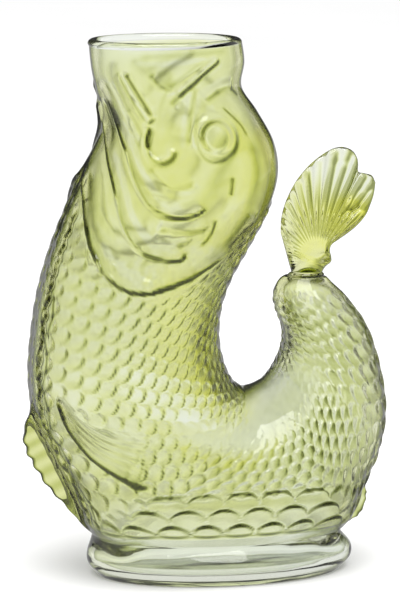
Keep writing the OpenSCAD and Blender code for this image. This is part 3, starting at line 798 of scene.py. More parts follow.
    def edge_fin(self, u: np.ndarray, side: np.ndarray, turn: np.ndarray, run: tuple[float, float],
                 shares: np.ndarray, height: float) -> np.ndarray:
        """A flat fin on the belly edge.

        Args:
            u: stations along the fish, of any shape.
            side: how far the places lie from the middle plane, in millimetres.
            turn: turns from the belly edge (0) to the back (1).
            run: the stations where the fin starts and ends.
            shares: its height along the run, as shares.
            height: its full height.

        Returns:
            The height of the fin at each place, in millimetres.
        """
        first, last = run
        at = (u - first) / (last - first)
        rise = height * np.clip(share_curve(shares, np.clip(at, 0.0, 1.0)), 0.0, None)
        rays = 1.0 - 0.06 * np.cos(FULL * 9.0 * at)
        narrow = 1.0 - smooth(1.2, 3.1, np.abs(side))
        return rise * rays * narrow * ((at > 0) & (at < 1)) * (turn < 0.2)

    def height(self, u: np.ndarray, a: np.ndarray) -> tuple[np.ndarray, np.ndarray]:
        """How far the skin stands out: the head's lines and dimples, the side fin, the scales, which stop at
        the plates, the fins and the foot's crease, and the grooves.

        Args:
            u: stations along the fish, of any shape.
            a: angles round the fish from the belly edge, in radians.

        Returns:
            The height of the relief at each place in millimetres, and that of the fins on it.
        """
        u, a = np.broadcast_arrays(np.asarray(u, float), np.asarray(a, float))
        left = np.where(a > HALF, FULL - a, a)
        turn = left / HALF
        points = self.form.skin(u, left)
        side = points[..., 1]
        behind = u - share_curve(GILL_LINE, turn)
        out = np.zeros(u.shape)
        if u.min() < self.head_to:
            out += self.head_lines(points) * smooth(*self.under_rim, u)
            plates = smooth(*self.plates_from, u) * (1.0 - smooth(*self.plates_to, behind))
            out += self.hammered(points, u) * (plates * (turn < self.plates_round))
        cover = np.zeros(u.shape)
        if u.min() < self.fin_to and u.max() > self.fin_from:
            fin, cover = self.pectoral(points)
            out += fin
        shown = smooth(*self.scales_from, behind) * (1.0 - cover) * (1.0 - smooth(*self.scales_to, u))
        arches, low = self.arches(points, u)
        lattice = self.scales(u, turn) * (1.0 - low) + arches * low
        crease = smooth(self.form.foot_height + 0.3, self.form.foot_height + 3.0, points[..., 2])
        saddle = (u > self.start - 0.1) & (u < self.end + 0.1)
        shown = shown * np.where(saddle, crease, 1.0)
        shown = shown * smooth(1.0, 7.0, np.abs(side) + 30.0 * smooth(0.5, 0.6, turn))
        smoothed = 1.0 - 0.8 * band(points[..., 0], points[..., 2], self.saddle_width)
        bolder = 1.35 + 0.75 * smooth(*self.bolder_from, u) * (1.0 - low)
        out += bolder * lattice * shown * smoothed
        beads = 0.095 + 0.006 * np.cos(FULL * np.interp(u, self.arc_u, self.arc) / 6.0)
        chain = np.exp(-((turn - beads) / 0.012) ** 2)
        chain = self.groove * chain * smooth(0.3, 1.0, behind)
        out -= chain * (1.0 - low) * (1.0 - smooth(*self.beads_to, u))
        out -= self.groove * np.exp(-((u - self.neck_groove) / 0.09) ** 2)
        belly_run = (self.start - 3.57, self.start - 0.12)
        rear_run = (self.end + 0.03, self.end + 1.1)
        fins = self.edge_fin(u, side, turn, belly_run, BELLY_FIN, self.belly_fin_height)
        fins += self.edge_fin(u, side, turn, rear_run, REAR_FIN, self.rear_fin_height)
        return out, fins


@dataclass
class Sheet:
    """A grid of points: one row for each station, the first and last column joined unless a row is open."""

    points: np.ndarray
    normals: np.ndarray
    shade: np.ndarray
    ids: np.ndarray
    count: int

    @classmethod
    def build(cls, padded: np.ndarray, open_rows: np.ndarray, shade: np.ndarray | None = None) -> "Sheet":
        """Makes a sheet from rows that have one more row before the first and after the last.

        Args:
            padded: rows by columns by 3, in millimetres, with the first column again at the end.
            open_rows: True for each kept row whose first and last column are apart.
            shade: the painted shade and painted highlight of each place, or None for a plain sheet.

        Returns:
            The sheet with its normals and its vertex numbers.
        """
        along = padded[2:] - padded[:-2]
        rows = padded[1:-1]
        around = np.empty_like(rows)
        around[:, 1:-1] = rows[:, 2:] - rows[:, :-2]
        around[:, 0] = rows[:, 1] - rows[:, -2]
        around[:, -1] = around[:, 0]
        around[open_rows, 0] = rows[open_rows, 1] - rows[open_rows, 0]
        around[open_rows, -1] = rows[open_rows, -1] - rows[open_rows, -2]
        normals = unit(np.cross(along, around))
        m, n = rows.shape[:2]
        keep = np.ones((m, n), bool)
        keep[~open_rows, -1] = False
        ids = np.cumsum(keep.ravel()).reshape(m, n) - 1
        ids[~open_rows, -1] = ids[~open_rows, 0]
        tone = np.zeros((m, n)) if shade is None else shade[1:-1]
        return cls(rows[keep], normals[keep], tone[keep], ids, int(keep.sum()))

    def quads(self, turned: bool) -> np.ndarray:
        """The sheet's faces.

        Args:
            turned: True for faces that look inward.

        Returns:
            Four vertex numbers for each face.
        """
        i = self.ids
        faces = np.stack([i[:-1, :-1], i[1:, :-1], i[1:, 1:], i[:-1, 1:]], -1).reshape(-1, 4)
        return faces[:, ::-1] if turned else faces


def zip_rings(outer: np.ndarray, inner: np.ndarray, turned: bool) -> np.ndarray:
    """Triangles between a ring and another with half as many points.

    Args:
        outer: vertex numbers of the ring with more points.
        inner: vertex numbers of the other one.
        turned: True for faces that look towards the mouth.

    Returns:
        Three vertex numbers for each face.
    """
    o, i = outer, inner
    first = np.stack([o[0::2], o[1::2], i], -1)
    second = np.stack([o[1::2], np.roll(o, -2)[0::2], np.roll(i, -1)], -1)
    third = np.stack([o[1::2], np.roll(i, -1), i], -1)
    faces = np.concatenate([first, second, third])
    return faces if turned else faces[:, ::-1]


def fan(ring: np.ndarray, centre: int, turned: bool) -> np.ndarray:
    """Triangles from a ring to one point.

    Args:
        ring: vertex numbers of the ring.
        centre: vertex number of the point.
        turned: True for the end that looks the other way.

    Returns:
        Three vertex numbers for each face.
    """
    faces = np.stack([ring, np.roll(ring, -1), np.full(len(ring), centre)], -1)
    return faces if turned else faces[:, ::-1]


def linear(value: str) -> tuple[float, float, float, float]:
    """Turns an sRGB colour to linear light.

    Args:
        value: the colour in hex, with its sign.

    Returns:
        Linear red, green and blue, and alpha.
    """
    parts = [int(value[i:i + 2], 16) / 255.0 for i in (1, 3, 5)]
    red, green, blue = [c / 12.92 if c <= 0.04045 else ((c + 0.055) / 1.055) ** 2.4 for c in parts]
    return red, green, blue, 1.0


def add_node(tree: bpy.types.NodeTree, kind: str, settings: dict | None = None,
             inputs: dict | None = None) -> bpy.types.Node:
    """Adds a node.

    Args:
        tree: the tree that it goes in.
        kind: its type, such as ShaderNodeBump.
        settings: its own properties.
        inputs: for each input, a value, or an output to link from.

    Returns:
        The node.
    """
    node = tree.nodes.new(kind)
    for name, value in (settings or {}).items():
        setattr(node, name, value)
    for name, value in (inputs or {}).items():
        if isinstance(value, bpy.types.NodeSocket):
            tree.links.new(value, node.inputs[name])
        else:
            node.inputs[name].default_value = value
    return node


def multiply(tree: bpy.types.NodeTree, one: bpy.types.NodeSocket,
             two: bpy.types.NodeSocket) -> bpy.types.NodeSocket:
    """One colour times another.

    Args:
        tree: the tree that the nodes go in.
        one: a colour.
        two: another colour.

    Returns:
        Their product.
    """
    node = add_node(tree, "ShaderNodeMix", {"data_type": "RGBA", "blend_type": "MULTIPLY"}, {0: 1.0})
    tree.links.new(one, node.inputs[6])
    tree.links.new(two, node.inputs[7])
    return node.outputs[2]


def ramp(tree: bpy.types.NodeTree, source: bpy.types.NodeSocket,
         stops: list[tuple[float, str]]) -> bpy.types.NodeSocket:
    """A colour ramp over a value.

    Args:
        tree: the tree that the nodes go in.
        source: the value.
        stops: places and hex colours, in order.

    Returns:
        The ramp's colour.
    """
    node = add_node(tree, "ShaderNodeValToRGB", inputs={"Fac": source})
    elements = node.color_ramp.elements
    elements[0].position, elements[0].color = stops[0][0], linear(stops[0][1])
    elements[1].position, elements[1].color = stops[-1][0], linear(stops[-1][1])
    for place, colour in stops[1:-1]:
        elements.new(place).color = linear(colour)
    return node.outputs["Color"]


@dataclass(frozen=True)
class BlownGlass:
    """Mould-blown soda-lime glass: clear, with a green cast that deepens with its thickness, and a painted
    shade where the skin turns away, which stands for light from the side of the studio bent out of it.

    Absorb and density are what a metre of it takes from light. Face, edge and outline are the colours
    of the painted shade as the skin turns away, the four after outline are the painted shade and painted
    highlight of the moulded slopes, darkest first, and thin, pale and deep those of the thickness. Wave
    and haze are the sizes of the soft waves and of the haze, in millimetres.
    """

    name: str
    absorb: str
    density: float
    edge: str
    face: str = "#ffffff"
    thin: str = "#f9fcfb"
    pale: str = "#f4f6ca"
    deep: str = "#f6f680"
    outline: str = "#181b0a"
    darkest_shade: str = "#171a06"
    steep: str = "#697230"
    slope: str = "#cad08e"
    level: str = "#f5f7d8"
    roughness: float = 0.02
    inside_roughness: float = 0.19
    ripple: float = 0.35
    ripple_depth: float = 1.2
    wave: float = 18.2
    haze: float = 6.25
    ior: float = 1.5

    def volume(self, tree: bpy.types.NodeTree) -> bpy.types.NodeSocket:
        """The colour that the glass takes from light on its way through.

        Args:
            tree: the tree that the nodes go in.

        Returns:
            The volume's socket.
        """
        node = add_node(tree, "ShaderNodeVolumeAbsorption",
                        inputs={"Color": linear(self.absorb), "Density": self.density})
        return node.outputs["Volume"]

    def build(self) -> bpy.types.Material:
        """Builds the material of the skin.

        Returns:
            The material.
        """
        material = bpy.data.materials.new(self.name)
        material.use_nodes = True
        tree = material.node_tree
        tree.nodes.clear()
        place = add_node(tree, "ShaderNodeTexCoord").outputs["Object"]
        wave = add_node(tree, "ShaderNodeTexNoise",
                        inputs={"Vector": place, "Scale": 1.0 / (self.wave * MM), "Detail": 1.0,
                                "Roughness": 0.4})
        bump = add_node(tree, "ShaderNodeBump",
                        inputs={"Strength": self.ripple, "Distance": self.ripple_depth * MM,
                                "Height": wave.outputs["Fac"]})
        # The seams, where the glass goes on in the next piece, are clear
        surface = add_node(tree, "ShaderNodeAttribute", {"attribute_name": "surface"})
        glass = add_node(tree, "ShaderNodeBsdfPrincipled",
                         inputs={"Base Color": self.colour(tree), "IOR": self.ior,
                                 "Transmission Weight": 1.0, "Roughness": self.polish(tree, place),
                                 "Normal": bump.outputs["Normal"], "Alpha": surface.outputs["Fac"]})
        add_node(tree, "ShaderNodeOutputMaterial",
                 inputs={"Surface": glass.outputs["BSDF"], "Volume": self.volume(tree)})
        return material

    def colour(self, tree: bpy.types.NodeTree) -> bpy.types.NodeSocket:
        """The colour of the glass: painted shade where the skin turns away, painted shade and painted
        highlight along the moulded lines and slopes, and green where the glass is thick.

        Args:
            tree: the tree that the nodes go in.

        Returns:
            The colour's socket.
        """
        # Painted shade: the colour darkens towards the outline as the skin turns away
        facing = add_node(tree, "ShaderNodeLayerWeight", inputs={"Blend": 0.5})
        turned = ramp(tree, facing.outputs["Facing"],
                      [(0.0, self.face), (0.56, self.face), (0.7, self.edge), (0.79, self.outline),
                       (1.0, self.outline)])
        # Painted shade and painted highlight: the tone attribute, from the relief's slopes and painted
        # lines, darkens or whitens the colour
        tone = add_node(tree, "ShaderNodeAttribute", {"attribute_name": "tone"})
        level = add_node(tree, "ShaderNodeMapRange",
                         inputs={"Value": tone.outputs["Fac"], "From Min": -1.0, "From Max": 1.0})
        moulded = ramp(tree, level.outputs["Result"],
                       [(0.0, self.darkest_shade), (0.25, self.steep), (0.5, self.slope), (0.75, self.level),
                        (1.0, self.face)])
        amount = add_node(tree, "ShaderNodeAttribute", {"attribute_name": "green"})
        green = ramp(tree, amount.outputs["Fac"], [(0.0, self.thin), (0.5, self.pale), (1.0, self.deep)])
        return multiply(tree, multiply(tree, turned, moulded), green)

    def polish(self, tree: bpy.types.NodeTree, place: bpy.types.NodeSocket) -> bpy.types.NodeSocket:
        """The roughness of the glass: fire-polished outside, and soft inside, so the far side's relief
        shows blurred.

        Args:
            tree: the tree that the nodes go in.
            place: object coordinates.

        Returns:
            The roughness's socket.
        """
        haze = add_node(tree, "ShaderNodeTexNoise",
                        inputs={"Vector": place, "Scale": 1.0 / (self.haze * MM), "Detail": 2.0})
        satin = add_node(tree, "ShaderNodeAttribute", {"attribute_name": "satin"})
        inside = add_node(tree, "ShaderNodeMath", {"operation": "MULTIPLY"},
                          {0: satin.outputs["Fac"], 1: self.inside_roughness})
        grain = add_node(tree, "ShaderNodeMapRange",
                         inputs={"Value": haze.outputs["Fac"], "From Min": 0.3, "From Max": 0.8,
                                 "To Min": self.roughness * 0.5, "To Max": self.roughness * 1.8})
        rough = add_node(tree, "ShaderNodeMath", {"operation": "ADD"},
                         {0: inside.outputs["Value"], 1: grain.outputs["Result"]})
        return rough.outputs["Value"]


# The skin of the fish: yellow-green where the glass is thick, clear and bright where it is thin, with
# soft waves from the blowing
GREEN_GLASS = BlownGlass("mould_blown_green_glass", absorb="#f3f5b8", density=26.0, edge="#98a256")
# The foot and the lip of the mouth: the same glass, worked hot by hand, so paler, wavier and softer
PALE_GLASS = BlownGlass("mould_blown_pale_glass", absorb="#f4f7d8", density=30.0, edge="#b4bc90",
                        pale="#f4f7da", deep="#dbe498", outline="#4e563a", roughness=0.05,
                        inside_roughness=0.2, ripple=0.5)

# Where the glass is greener than elsewhere
GILL_GREEN = Spot(2.0, 100.0, 17.0, 32.0, 0.6)
CHEEK_GREEN = Spot(-12.0, 175.0, 30.0, 34.0, 0.25)
FAN_GREEN = Spot(66.0, 158.0, 8.0, 9.0, 0.9)
FOOT_GREEN = Spot(-46.0, 11.0, 14.0, 8.0, 0.5)
THROAT_GREEN = Spot(-4.0, 104.0, 13.0, 20.0, 0.4)


def tint(points: np.ndarray) -> np.ndarray:
    """How green the glass looks: pale where it is blown thin by the rim, over the foot and at the tips of
    the tail, deepest behind the gills, and painted nearly clear along the smooth stretch under the saddle as
    a painted highlight.

    Args:
        points: places, in millimetres.

    Returns:
        A share for each place, from 0, clear, to 1, deep green.
    """
    x, z = points[:, 0], points[:, 2]
    green = 0.4 + GILL_GREEN.at(x, z)
    green += CHEEK_GREEN.at(x, z)
    # Painted highlight: the glass is painted nearly clear along the smooth stretch under the saddle
    green *= 1.0 - 0.95 * band(x, z, 6.5)
    green += FAN_GREEN.at(x, z)
    thin_rim = smooth(214.0, 240.0, z) * (1.0 - smooth(-30.0, 10.0, x))
    green *= 1.0 - 0.7 * thin_rim
    green += 0.45 * band(x + 2.0, z + 9.5, 3.6) + 0.9 * band(x, z, 4.5, NAPE_BAND)
    over_foot = smooth(16.0, 46.0, z)
    green *= 0.75 + 0.25 * over_foot
    green += FOOT_GREEN.at(x, z) * (z < 17.0)
    tail = smooth(20.0, 34.0, x) * (1.0 - smooth(118.0, 128.0, z))
    green *= 1.0 - 0.5 * tail
    fan_root = smooth(130.0, 140.0, z) * smooth(40.0, 44.0, x) * (1.0 - smooth(160.0, 172.0, z))
    green += 0.35 * fan_root
    fan_tips = smooth(166.0, 178.0, z + 0.25 * (x - 60.0)) * smooth(46.0, 50.0, x)
    green = green + THROAT_GREEN.at(x, z)
    return np.clip(green * (1.0 - fan_tips), 0.0, 1.0)


class Slot(Enum):
    """The record's material slots."""

    GREEN = "green_glass"
    PALE = "pale_glass"


@dataclass
class Glassworks:
    """Turns sheets into pieces and gives them their glass."""

    finishes: dict[Slot, BlownGlass]
    materials: dict[Slot, bpy.types.Material] = field(default_factory=dict)
    # Where the painted tone is bright the glass is also painted less green, as part of the painted highlight
    bright_from: float = 0.6
    bright_loss: float = 0.6

    def __post_init__(self) -> None:
        """Builds each glass once."""
        for slot, finish in self.finishes.items():
            self.materials[slot] = finish.build()

    def piece(self, name: str, points: np.ndarray, skin: list[np.ndarray], seams: list[np.ndarray],
              slot: Slot, nodes: list[str], normals: np.ndarray | None = None,
              shade: np.ndarray | None = None) -> bpy.types.Object:
        """One closed piece of glass.

        Args:
            name: the piece's name.
            points: vertices in millimetres.
            skin: faces that show.
            seams: faces where the glass goes on in the next piece.
            slot: the record's slot that it takes its finish from.
            nodes: the CAD nodes that it stands for.
            normals: a normal for each vertex, or None for smooth faces as they come.
            shade: the painted shade and painted highlight of each of the first vertices, from -1 to 1.

        Returns:
            The object, riding on the root body.
        """
        shown = [f for group in skin for f in group.tolist()]
        hidden = [f for group in seams for f in group.tolist()]
        mesh = bpy.data.meshes.new(name)
        mesh.from_pydata((points * MM).tolist(), [], shown + hidden)
        mesh.polygons.foreach_set("use_smooth", [True] * len(shown) + [False] * len(hidden))
        mesh.materials.append(self.materials[slot])
        surface = mesh.attributes.new("surface", "FLOAT", "FACE")
        surface.data.foreach_set("value", [1.0] * len(shown) + [0.0] * len(hidden))
        # The tone attribute carries the painted shade and painted highlight; vertices without one are left
        # at 1, the palest
        tone = np.ones(len(points))
        if shade is not None:
            tone[:len(shade)] = shade
        mesh.attributes.new("tone", "FLOAT", "POINT").data.foreach_set("value", tone)
        # The glass's own green, painted paler where the painted highlight is bright
        green = tint(points) * (1.0 - self.bright_loss * smooth(self.bright_from, 1.0, tone))
        mesh.attributes.new("green", "FLOAT", "POINT").data.foreach_set("value", green)
        satin = (np.arange(len(points)) >= (len(points) if shade is None else len(shade))).astype(float)
        mesh.attributes.new("satin", "FLOAT", "POINT").data.foreach_set("value", satin)
        mesh.update()
        volume = self.volume(mesh)
        if volume < 0 and normals is None:
            mesh.flip_normals()
        if normals is not None:
            mesh.normals_split_custom_set_from_vertices(normals.tolist())
        obj = bpy.data.objects.new(f"glass_{name}", mesh)
        bpy.context.scene.collection.objects.link(obj)
        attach(obj, "root")
        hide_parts(*nodes)
        LOG.info("%s: %d faces, %.1f cm3", name, len(mesh.polygons), volume * 1e6)
        return obj

    @staticmethod
    def volume(mesh: bpy.types.Mesh) -> float:
        """The volume inside a closed mesh.

        Args:
            mesh: the mesh.

        Returns:
            The volume in cubic metres, negative if the mesh faces inward.
        """
        mesh.calc_loop_triangles()
        at = np.empty(len(mesh.vertices) * 3)
        mesh.vertices.foreach_get("co", at)
        tris = np.empty(len(mesh.loop_triangles) * 3, int)
        mesh.loop_triangles.foreach_get("vertices", tris)
        corners = at.reshape(-1, 3)[tris.reshape(-1, 3)]
        return float(np.einsum("ij,ij->", corners[:, 0], np.cross(corners[:, 1], corners[:, 2])) / 6)


@dataclass
class Tube:
    """A length of the fish between two rings, hollow and open at both ends."""

    form: FishForm
    relief: Relief
    works: Glassworks
    overlap: float = 0.003
    inner_wave: float = 0.16
    # The painted stripes and the painted crest shade of the edge fins
    fin_tone: float = 0.2
    fin_rays: float = 2.6
    crest_dark: float = 1.1
    inner_part: int = 2

    def padded(self, first: np.ndarray | float, last: np.ndarray | float, rows: int, columns: int,
               inset: float) -> tuple[np.ndarray, np.ndarray]:
        """Rows of skin between two rings, with one row more at each end.

        Args:
            first: the station of the first ring, or one for each column.
            last: the station of the last ring, or one for each column.
            rows: how many rows.
            columns: how many columns.
            inset: how far inside the skin, in millimetres.

        Returns:
            The points in millimetres, and their tones.
        """
        a = FULL * self.form.column_shares(columns)
        first = np.broadcast_to(first, a.shape) - self.overlap
        last = np.broadcast_to(last, a.shape)
        share = np.arange(-1, rows + 2)[:, None] / rows
        u = np.clip(first + (last - first) * share, 0.0, LAST)
        angle = np.broadcast_to(a, u.shape)
        return self.surface(u, angle, inset)

    def surface(self, u: np.ndarray, a: np.ndarray, inset: float) -> tuple[np.ndarray, np.ndarray]:
        """The outer skin with its relief, or the inner one with the slow waves of blown glass.

        Args:
            u: stations along the fish, of any shape.
            a: angles round the fish from the belly edge, in radians.
            inset: how far inside the skin, in millimetres.

        Returns:
            The points, and the painted shade and painted highlight of each, from the relief's slope, its
            painted lines and the fins' painted stripes, from -1 to 1.
        """
        points = self.form.skin(u, a, inset)
        if inset > 0:
            x, y, z = points[..., 0], points[..., 1], points[..., 2]
            waves = np.sin(x / 6.1 + z / 9.7) + np.sin(y / 7.3 - z / 5.9 + 1.3) + np.sin(z / 4.3 + x / 11.0)
            rise = self.inner_wave * waves
            return points + self.form.outward(u, a) * rise[..., None], np.zeros(u.shape)
        rise, fins = self.relief.height(u, a)
        out = self.form.outward(u, a)
        # Painted shade and painted highlight from the relief's slopes, then the painted lines
        tone = SLOPE_LIGHT.tone(points, rise)
        if u.min() < self.relief.fin_to:
            tone = np.clip(tone + self.relief.strokes(u, a), -1.0, 1.0)
        # Painted on the edge fins: pale and dark stripes for their rays, and painted shade along their
        # crests
        crest = smooth(0.85, 1.0, fins / np.maximum(fins.max(axis=1, keepdims=True), 0.8))
        rays = self.fin_tone * (1.0 + np.cos(FULL * self.fin_rays * u))
        tone = np.where(fins > 0.3, rays - self.crest_dark * crest, tone)
        return points + out * (rise + fins)[..., None], tone

    def build(self, name: str, first: np.ndarray | float, last: np.ndarray | float, rows: int,
              nodes: list[str]) -> bpy.types.Object:
        """Builds the piece between two rings.

        Args:
            name: the piece's name.
            first: the station of the first ring, or one for each column.
            last: the station of the last ring, or one for each column.
            rows: how many rows of faces.
            nodes: the CAD nodes that it stands for.

        Returns:
            The object.
        """
        n = self.form.columns
        half = np.s_[::self.inner_part]
        first_in = first[half] if isinstance(first, np.ndarray) else first
        last_in = last[half] if isinstance(last, np.ndarray) else last
        skin, tone = self.padded(first, last, rows, n, 0.0)
        outer = Sheet.build(skin, np.zeros(rows + 1, bool), tone)
        inner_rows = rows // self.inner_part
        inside, _ = self.padded(first_in, last_in, inner_rows, n // self.inner_part, self.form.wall)
        inner = Sheet.build(inside, np.zeros(inner_rows + 1, bool))
        inner.ids = inner.ids + outer.count
        points = np.concatenate([outer.points, inner.points])
        normals = np.concatenate([outer.normals, -inner.normals])
        seams = [zip_rings(outer.ids[0, :-1], inner.ids[0, :-1], True),
                 zip_rings(outer.ids[-1, :-1], inner.ids[-1, :-1], False)]
        return self.works.piece(name, points, [outer.quads(False), inner.quads(True)], seams, Slot.GREEN,
                                nodes, normals, outer.shade)


@dataclass
class Head(Tube):
    """The head, with its eyes, lips, cheeks and gill covers moulded in the same skin."""

    rows: int = 120

    def make(self) -> bpy.types.Object:
        """Builds the head from the rim to the gill line.

        Returns:
            The object.
        """
        a = FULL * self.form.column_shares(self.form.columns)
        nodes = ["head"] + [f"{part}_{side}" for part in ("eye", "lip", "cheek", "gill_cover")
                            for side in ("left", "right")]
        return self.build("head", self.form.rim_station, self.form.gill(a), self.rows, nodes)


@dataclass
class Chest(Tube):
    """The scaled length from the gill line to the foot's crease, with the side fins and the belly fin."""

    rows: int = 124

    def make(self) -> bpy.types.Object:
        """Builds the chest from the gill line to the belly.

        Returns:
            The object.
        """
        a = FULL * self.form.column_shares(self.form.columns)
        nodes = ["chest", "pectoral_fin_left", "pectoral_fin_right", "belly_fin"]
        return self.build("chest", self.form.gill(a), self.relief.chest_end, self.rows, nodes)


@dataclass
class Belly(Tube):
    """The belly over the foot, with the rear fin. It is open underneath, where the glass goes on into
    the foot."""

    front: int = 6
    rear: int = 18

    def stations(self, first: float, last: float, part: int) -> tuple[np.ndarray, np.ndarray]:
        """The stations of the belly's rows.

        Args:
            first: the first station that the crease cuts.
            last: the last station that it cuts.
            part: 1 for all rows, 2 for half of them.

        Returns:
            The stations, with one more at each end, and which rows are open underneath.
        """
        front, saddle, rear = self.front // part, self.form.saddle_rows // part, self.rear // part
        start, end = self.relief.chest_end - self.overlap, self.relief.belly_end
        head = start + (first - start) * np.arange(-1, front) / front
        middle = first + (last - first) * (1 - np.cos(HALF * np.arange(saddle + 1) / saddle)) / 2
        tail = last + (end - last) * np.arange(1, rear + 2) / rear
        u = np.concatenate([head, middle, tail])
        opened = np.zeros(len(u), bool)
        opened[front + 2:front + 1 + saddle] = True
        return u, opened

    def sheet(self, inset: float, part: int) -> tuple[Sheet, np.ndarray]:
        """The outer or inner sheet.

        Args:
            inset: how far inside the skin, in millimetres.
            part: 1 for all points, 2 for half.

        Returns:
            The sheet, and the vertex numbers along the foot's crease.
        """
        first, last = self.form.crease_ends(inset)
        u, opened = self.stations(first, last, part)
        cut = np.where(opened, self.form.cut_angle(u, inset), 0.0)[:, None]
        share = self.form.column_shares(self.form.columns // part)[None, :]
        angle = cut + (FULL - 2 * cut) * share
        points, tone = self.surface(np.broadcast_to(u[:, None], angle.shape), angle, inset)
        sheet = Sheet.build(points, opened[1:-1], tone)
        begin, count = self.front // part, self.form.saddle_rows // part
        left = sheet.ids[begin:begin + count + 1, 0]
        right = sheet.ids[begin + 1:begin + count, -1][::-1]
        return sheet, np.concatenate([left, right])

    def make(self) -> bpy.types.Object:
        """Builds the belly.

        Returns:
            The object.
        """
        outer, outer_crease = self.sheet(0.0, 1)
        inner, inner_crease = self.sheet(self.form.wall, self.inner_part)
        inner.ids = inner.ids + outer.count
        inner_crease = inner_crease + outer.count
        points = np.concatenate([outer.points, inner.points])
        normals = np.concatenate([outer.normals, -inner.normals])
        seams = [zip_rings(outer.ids[0, :-1], inner.ids[0, :-1], True),
                 zip_rings(outer.ids[-1, :-1], inner.ids[-1, :-1], False),
                 zip_rings(outer_crease, inner_crease, False)]
        return self.works.piece("belly", points, [outer.quads(False), inner.quads(True)], seams, Slot.GREEN,
                                ["belly", "rear_fin"], normals, outer.shade)


@dataclass
class Tail(Tube):
    """The hollow raised tail, which is the handle. Its hollow ends in a rounded tip under the neck."""

    tip_from: float = 25.3
    tip_to: float = 26.45
    rows: int = 100
    inner_rows: int = 50

    def make(self) -> bpy.types.Object:
        """Builds the tail from the belly to the neck of the fan.

        Returns:
            The object.
        """
        first = self.relief.belly_end
        skin, tone = self.padded(first, LAST, self.rows, self.form.columns, 0.0)
        outer = Sheet.build(skin, np.zeros(self.rows + 1, bool), tone)
        a = FULL * self.form.column_shares(self.form.columns // self.inner_part)
        share = np.arange(-1, self.inner_rows + 2) / self.inner_rows
        u = first - self.overlap + (self.tip_to - first) * (1 - (1 - np.clip(share, -0.1, 1.0)) ** 1.35)
        grid, angle = np.broadcast_arrays(u[:, None], a[None, :])
        points, _ = self.surface(grid, angle, self.form.wall)
        centre = points[:, :-1].mean(1, keepdims=True)
        into_tip = np.clip((u - self.tip_from) / (self.tip_to - self.tip_from), 0, 1)
        shrink = np.sqrt(np.clip(1 - into_tip**2, 0.0006, 1))
        points = centre + (points - centre) * shrink[:, None, None]
        inner = Sheet.build(points[:-1], np.zeros(len(points) - 3, bool))
        inner.ids = inner.ids + outer.count
        tip = outer.count + inner.count
        neck = tip + 1
        last_ring = outer.ids[-1, :-1]
        points = np.concatenate([outer.points, inner.points, points[-2].mean(0)[None],
                                 outer.points[last_ring].mean(0)[None]])
        up = self.form.outward(np.array([LAST]), np.array([0.0]))
        normals = np.concatenate([outer.normals, -inner.normals, np.array([[0.0, 0.0, -1.0]]), up])
        seams = [zip_rings(outer.ids[0, :-1], inner.ids[0, :-1], True), fan(last_ring, neck, False)]
        faces = [outer.quads(False), inner.quads(True), fan(inner.ids[-1, :-1], tip, True)]
        return self.works.piece("tail", points, faces, seams, Slot.GREEN, ["tail"], normals, outer.shade)


@dataclass
class MouthRim:
    """The fire-polished lip round the mouth."""

    form: FishForm
    works: Glassworks
    bead: float = 2.1
    steps: int = 14
    overlap: float = 0.003

    def make(self) -> bpy.types.Object:
        """Builds the rim from the head's outside over the bead to the head's inside.

        Returns:
            The object.
        """
        a = FULL * self.form.column_shares(self.form.columns // 2)
        zero = np.zeros_like(a)

        def ring(u: float, inset: float, rise: float) -> np.ndarray:
            """A ring round the mouth at a station, moved in by inset and up by rise."""
            return self.form.skin(zero + u, a, inset) + np.array([0.0, 0.0, rise])

        middle = self.form.wall / 2
        over = self.form.rim_station + self.overlap
        arc = [ring(0.0, middle - self.bead * math.cos(HALF * i / self.steps),
                    self.bead * math.sin(HALF * i / self.steps) - self.bead) for i in range(self.steps + 1)]
        outside = ring(over, 0.0, 0.0)
        inside = ring(over, self.form.wall, 0.0)
        rows = [outside + (arc[0] - outside) * s for s in (-0.2, 0.0, 0.2, 0.4, 0.6, 0.8)]
        rows = rows + arc + [arc[-1] + (inside - arc[-1]) * s for s in (0.2, 0.4, 0.6, 0.8, 1.0, 1.2)]
        sheet = Sheet.build(np.array(rows)[::-1], np.zeros(len(rows) - 2, bool))
        first, last = sheet.ids[0, :-1], sheet.ids[-1, :-1]
        seam = np.stack([first, np.roll(first, -1), np.roll(last, -1), last], -1)
        return self.works.piece("mouth_rim", sheet.points, [sheet.quads(False)], [seam], Slot.PALE,
                                ["mouth_rim"], sheet.normals)


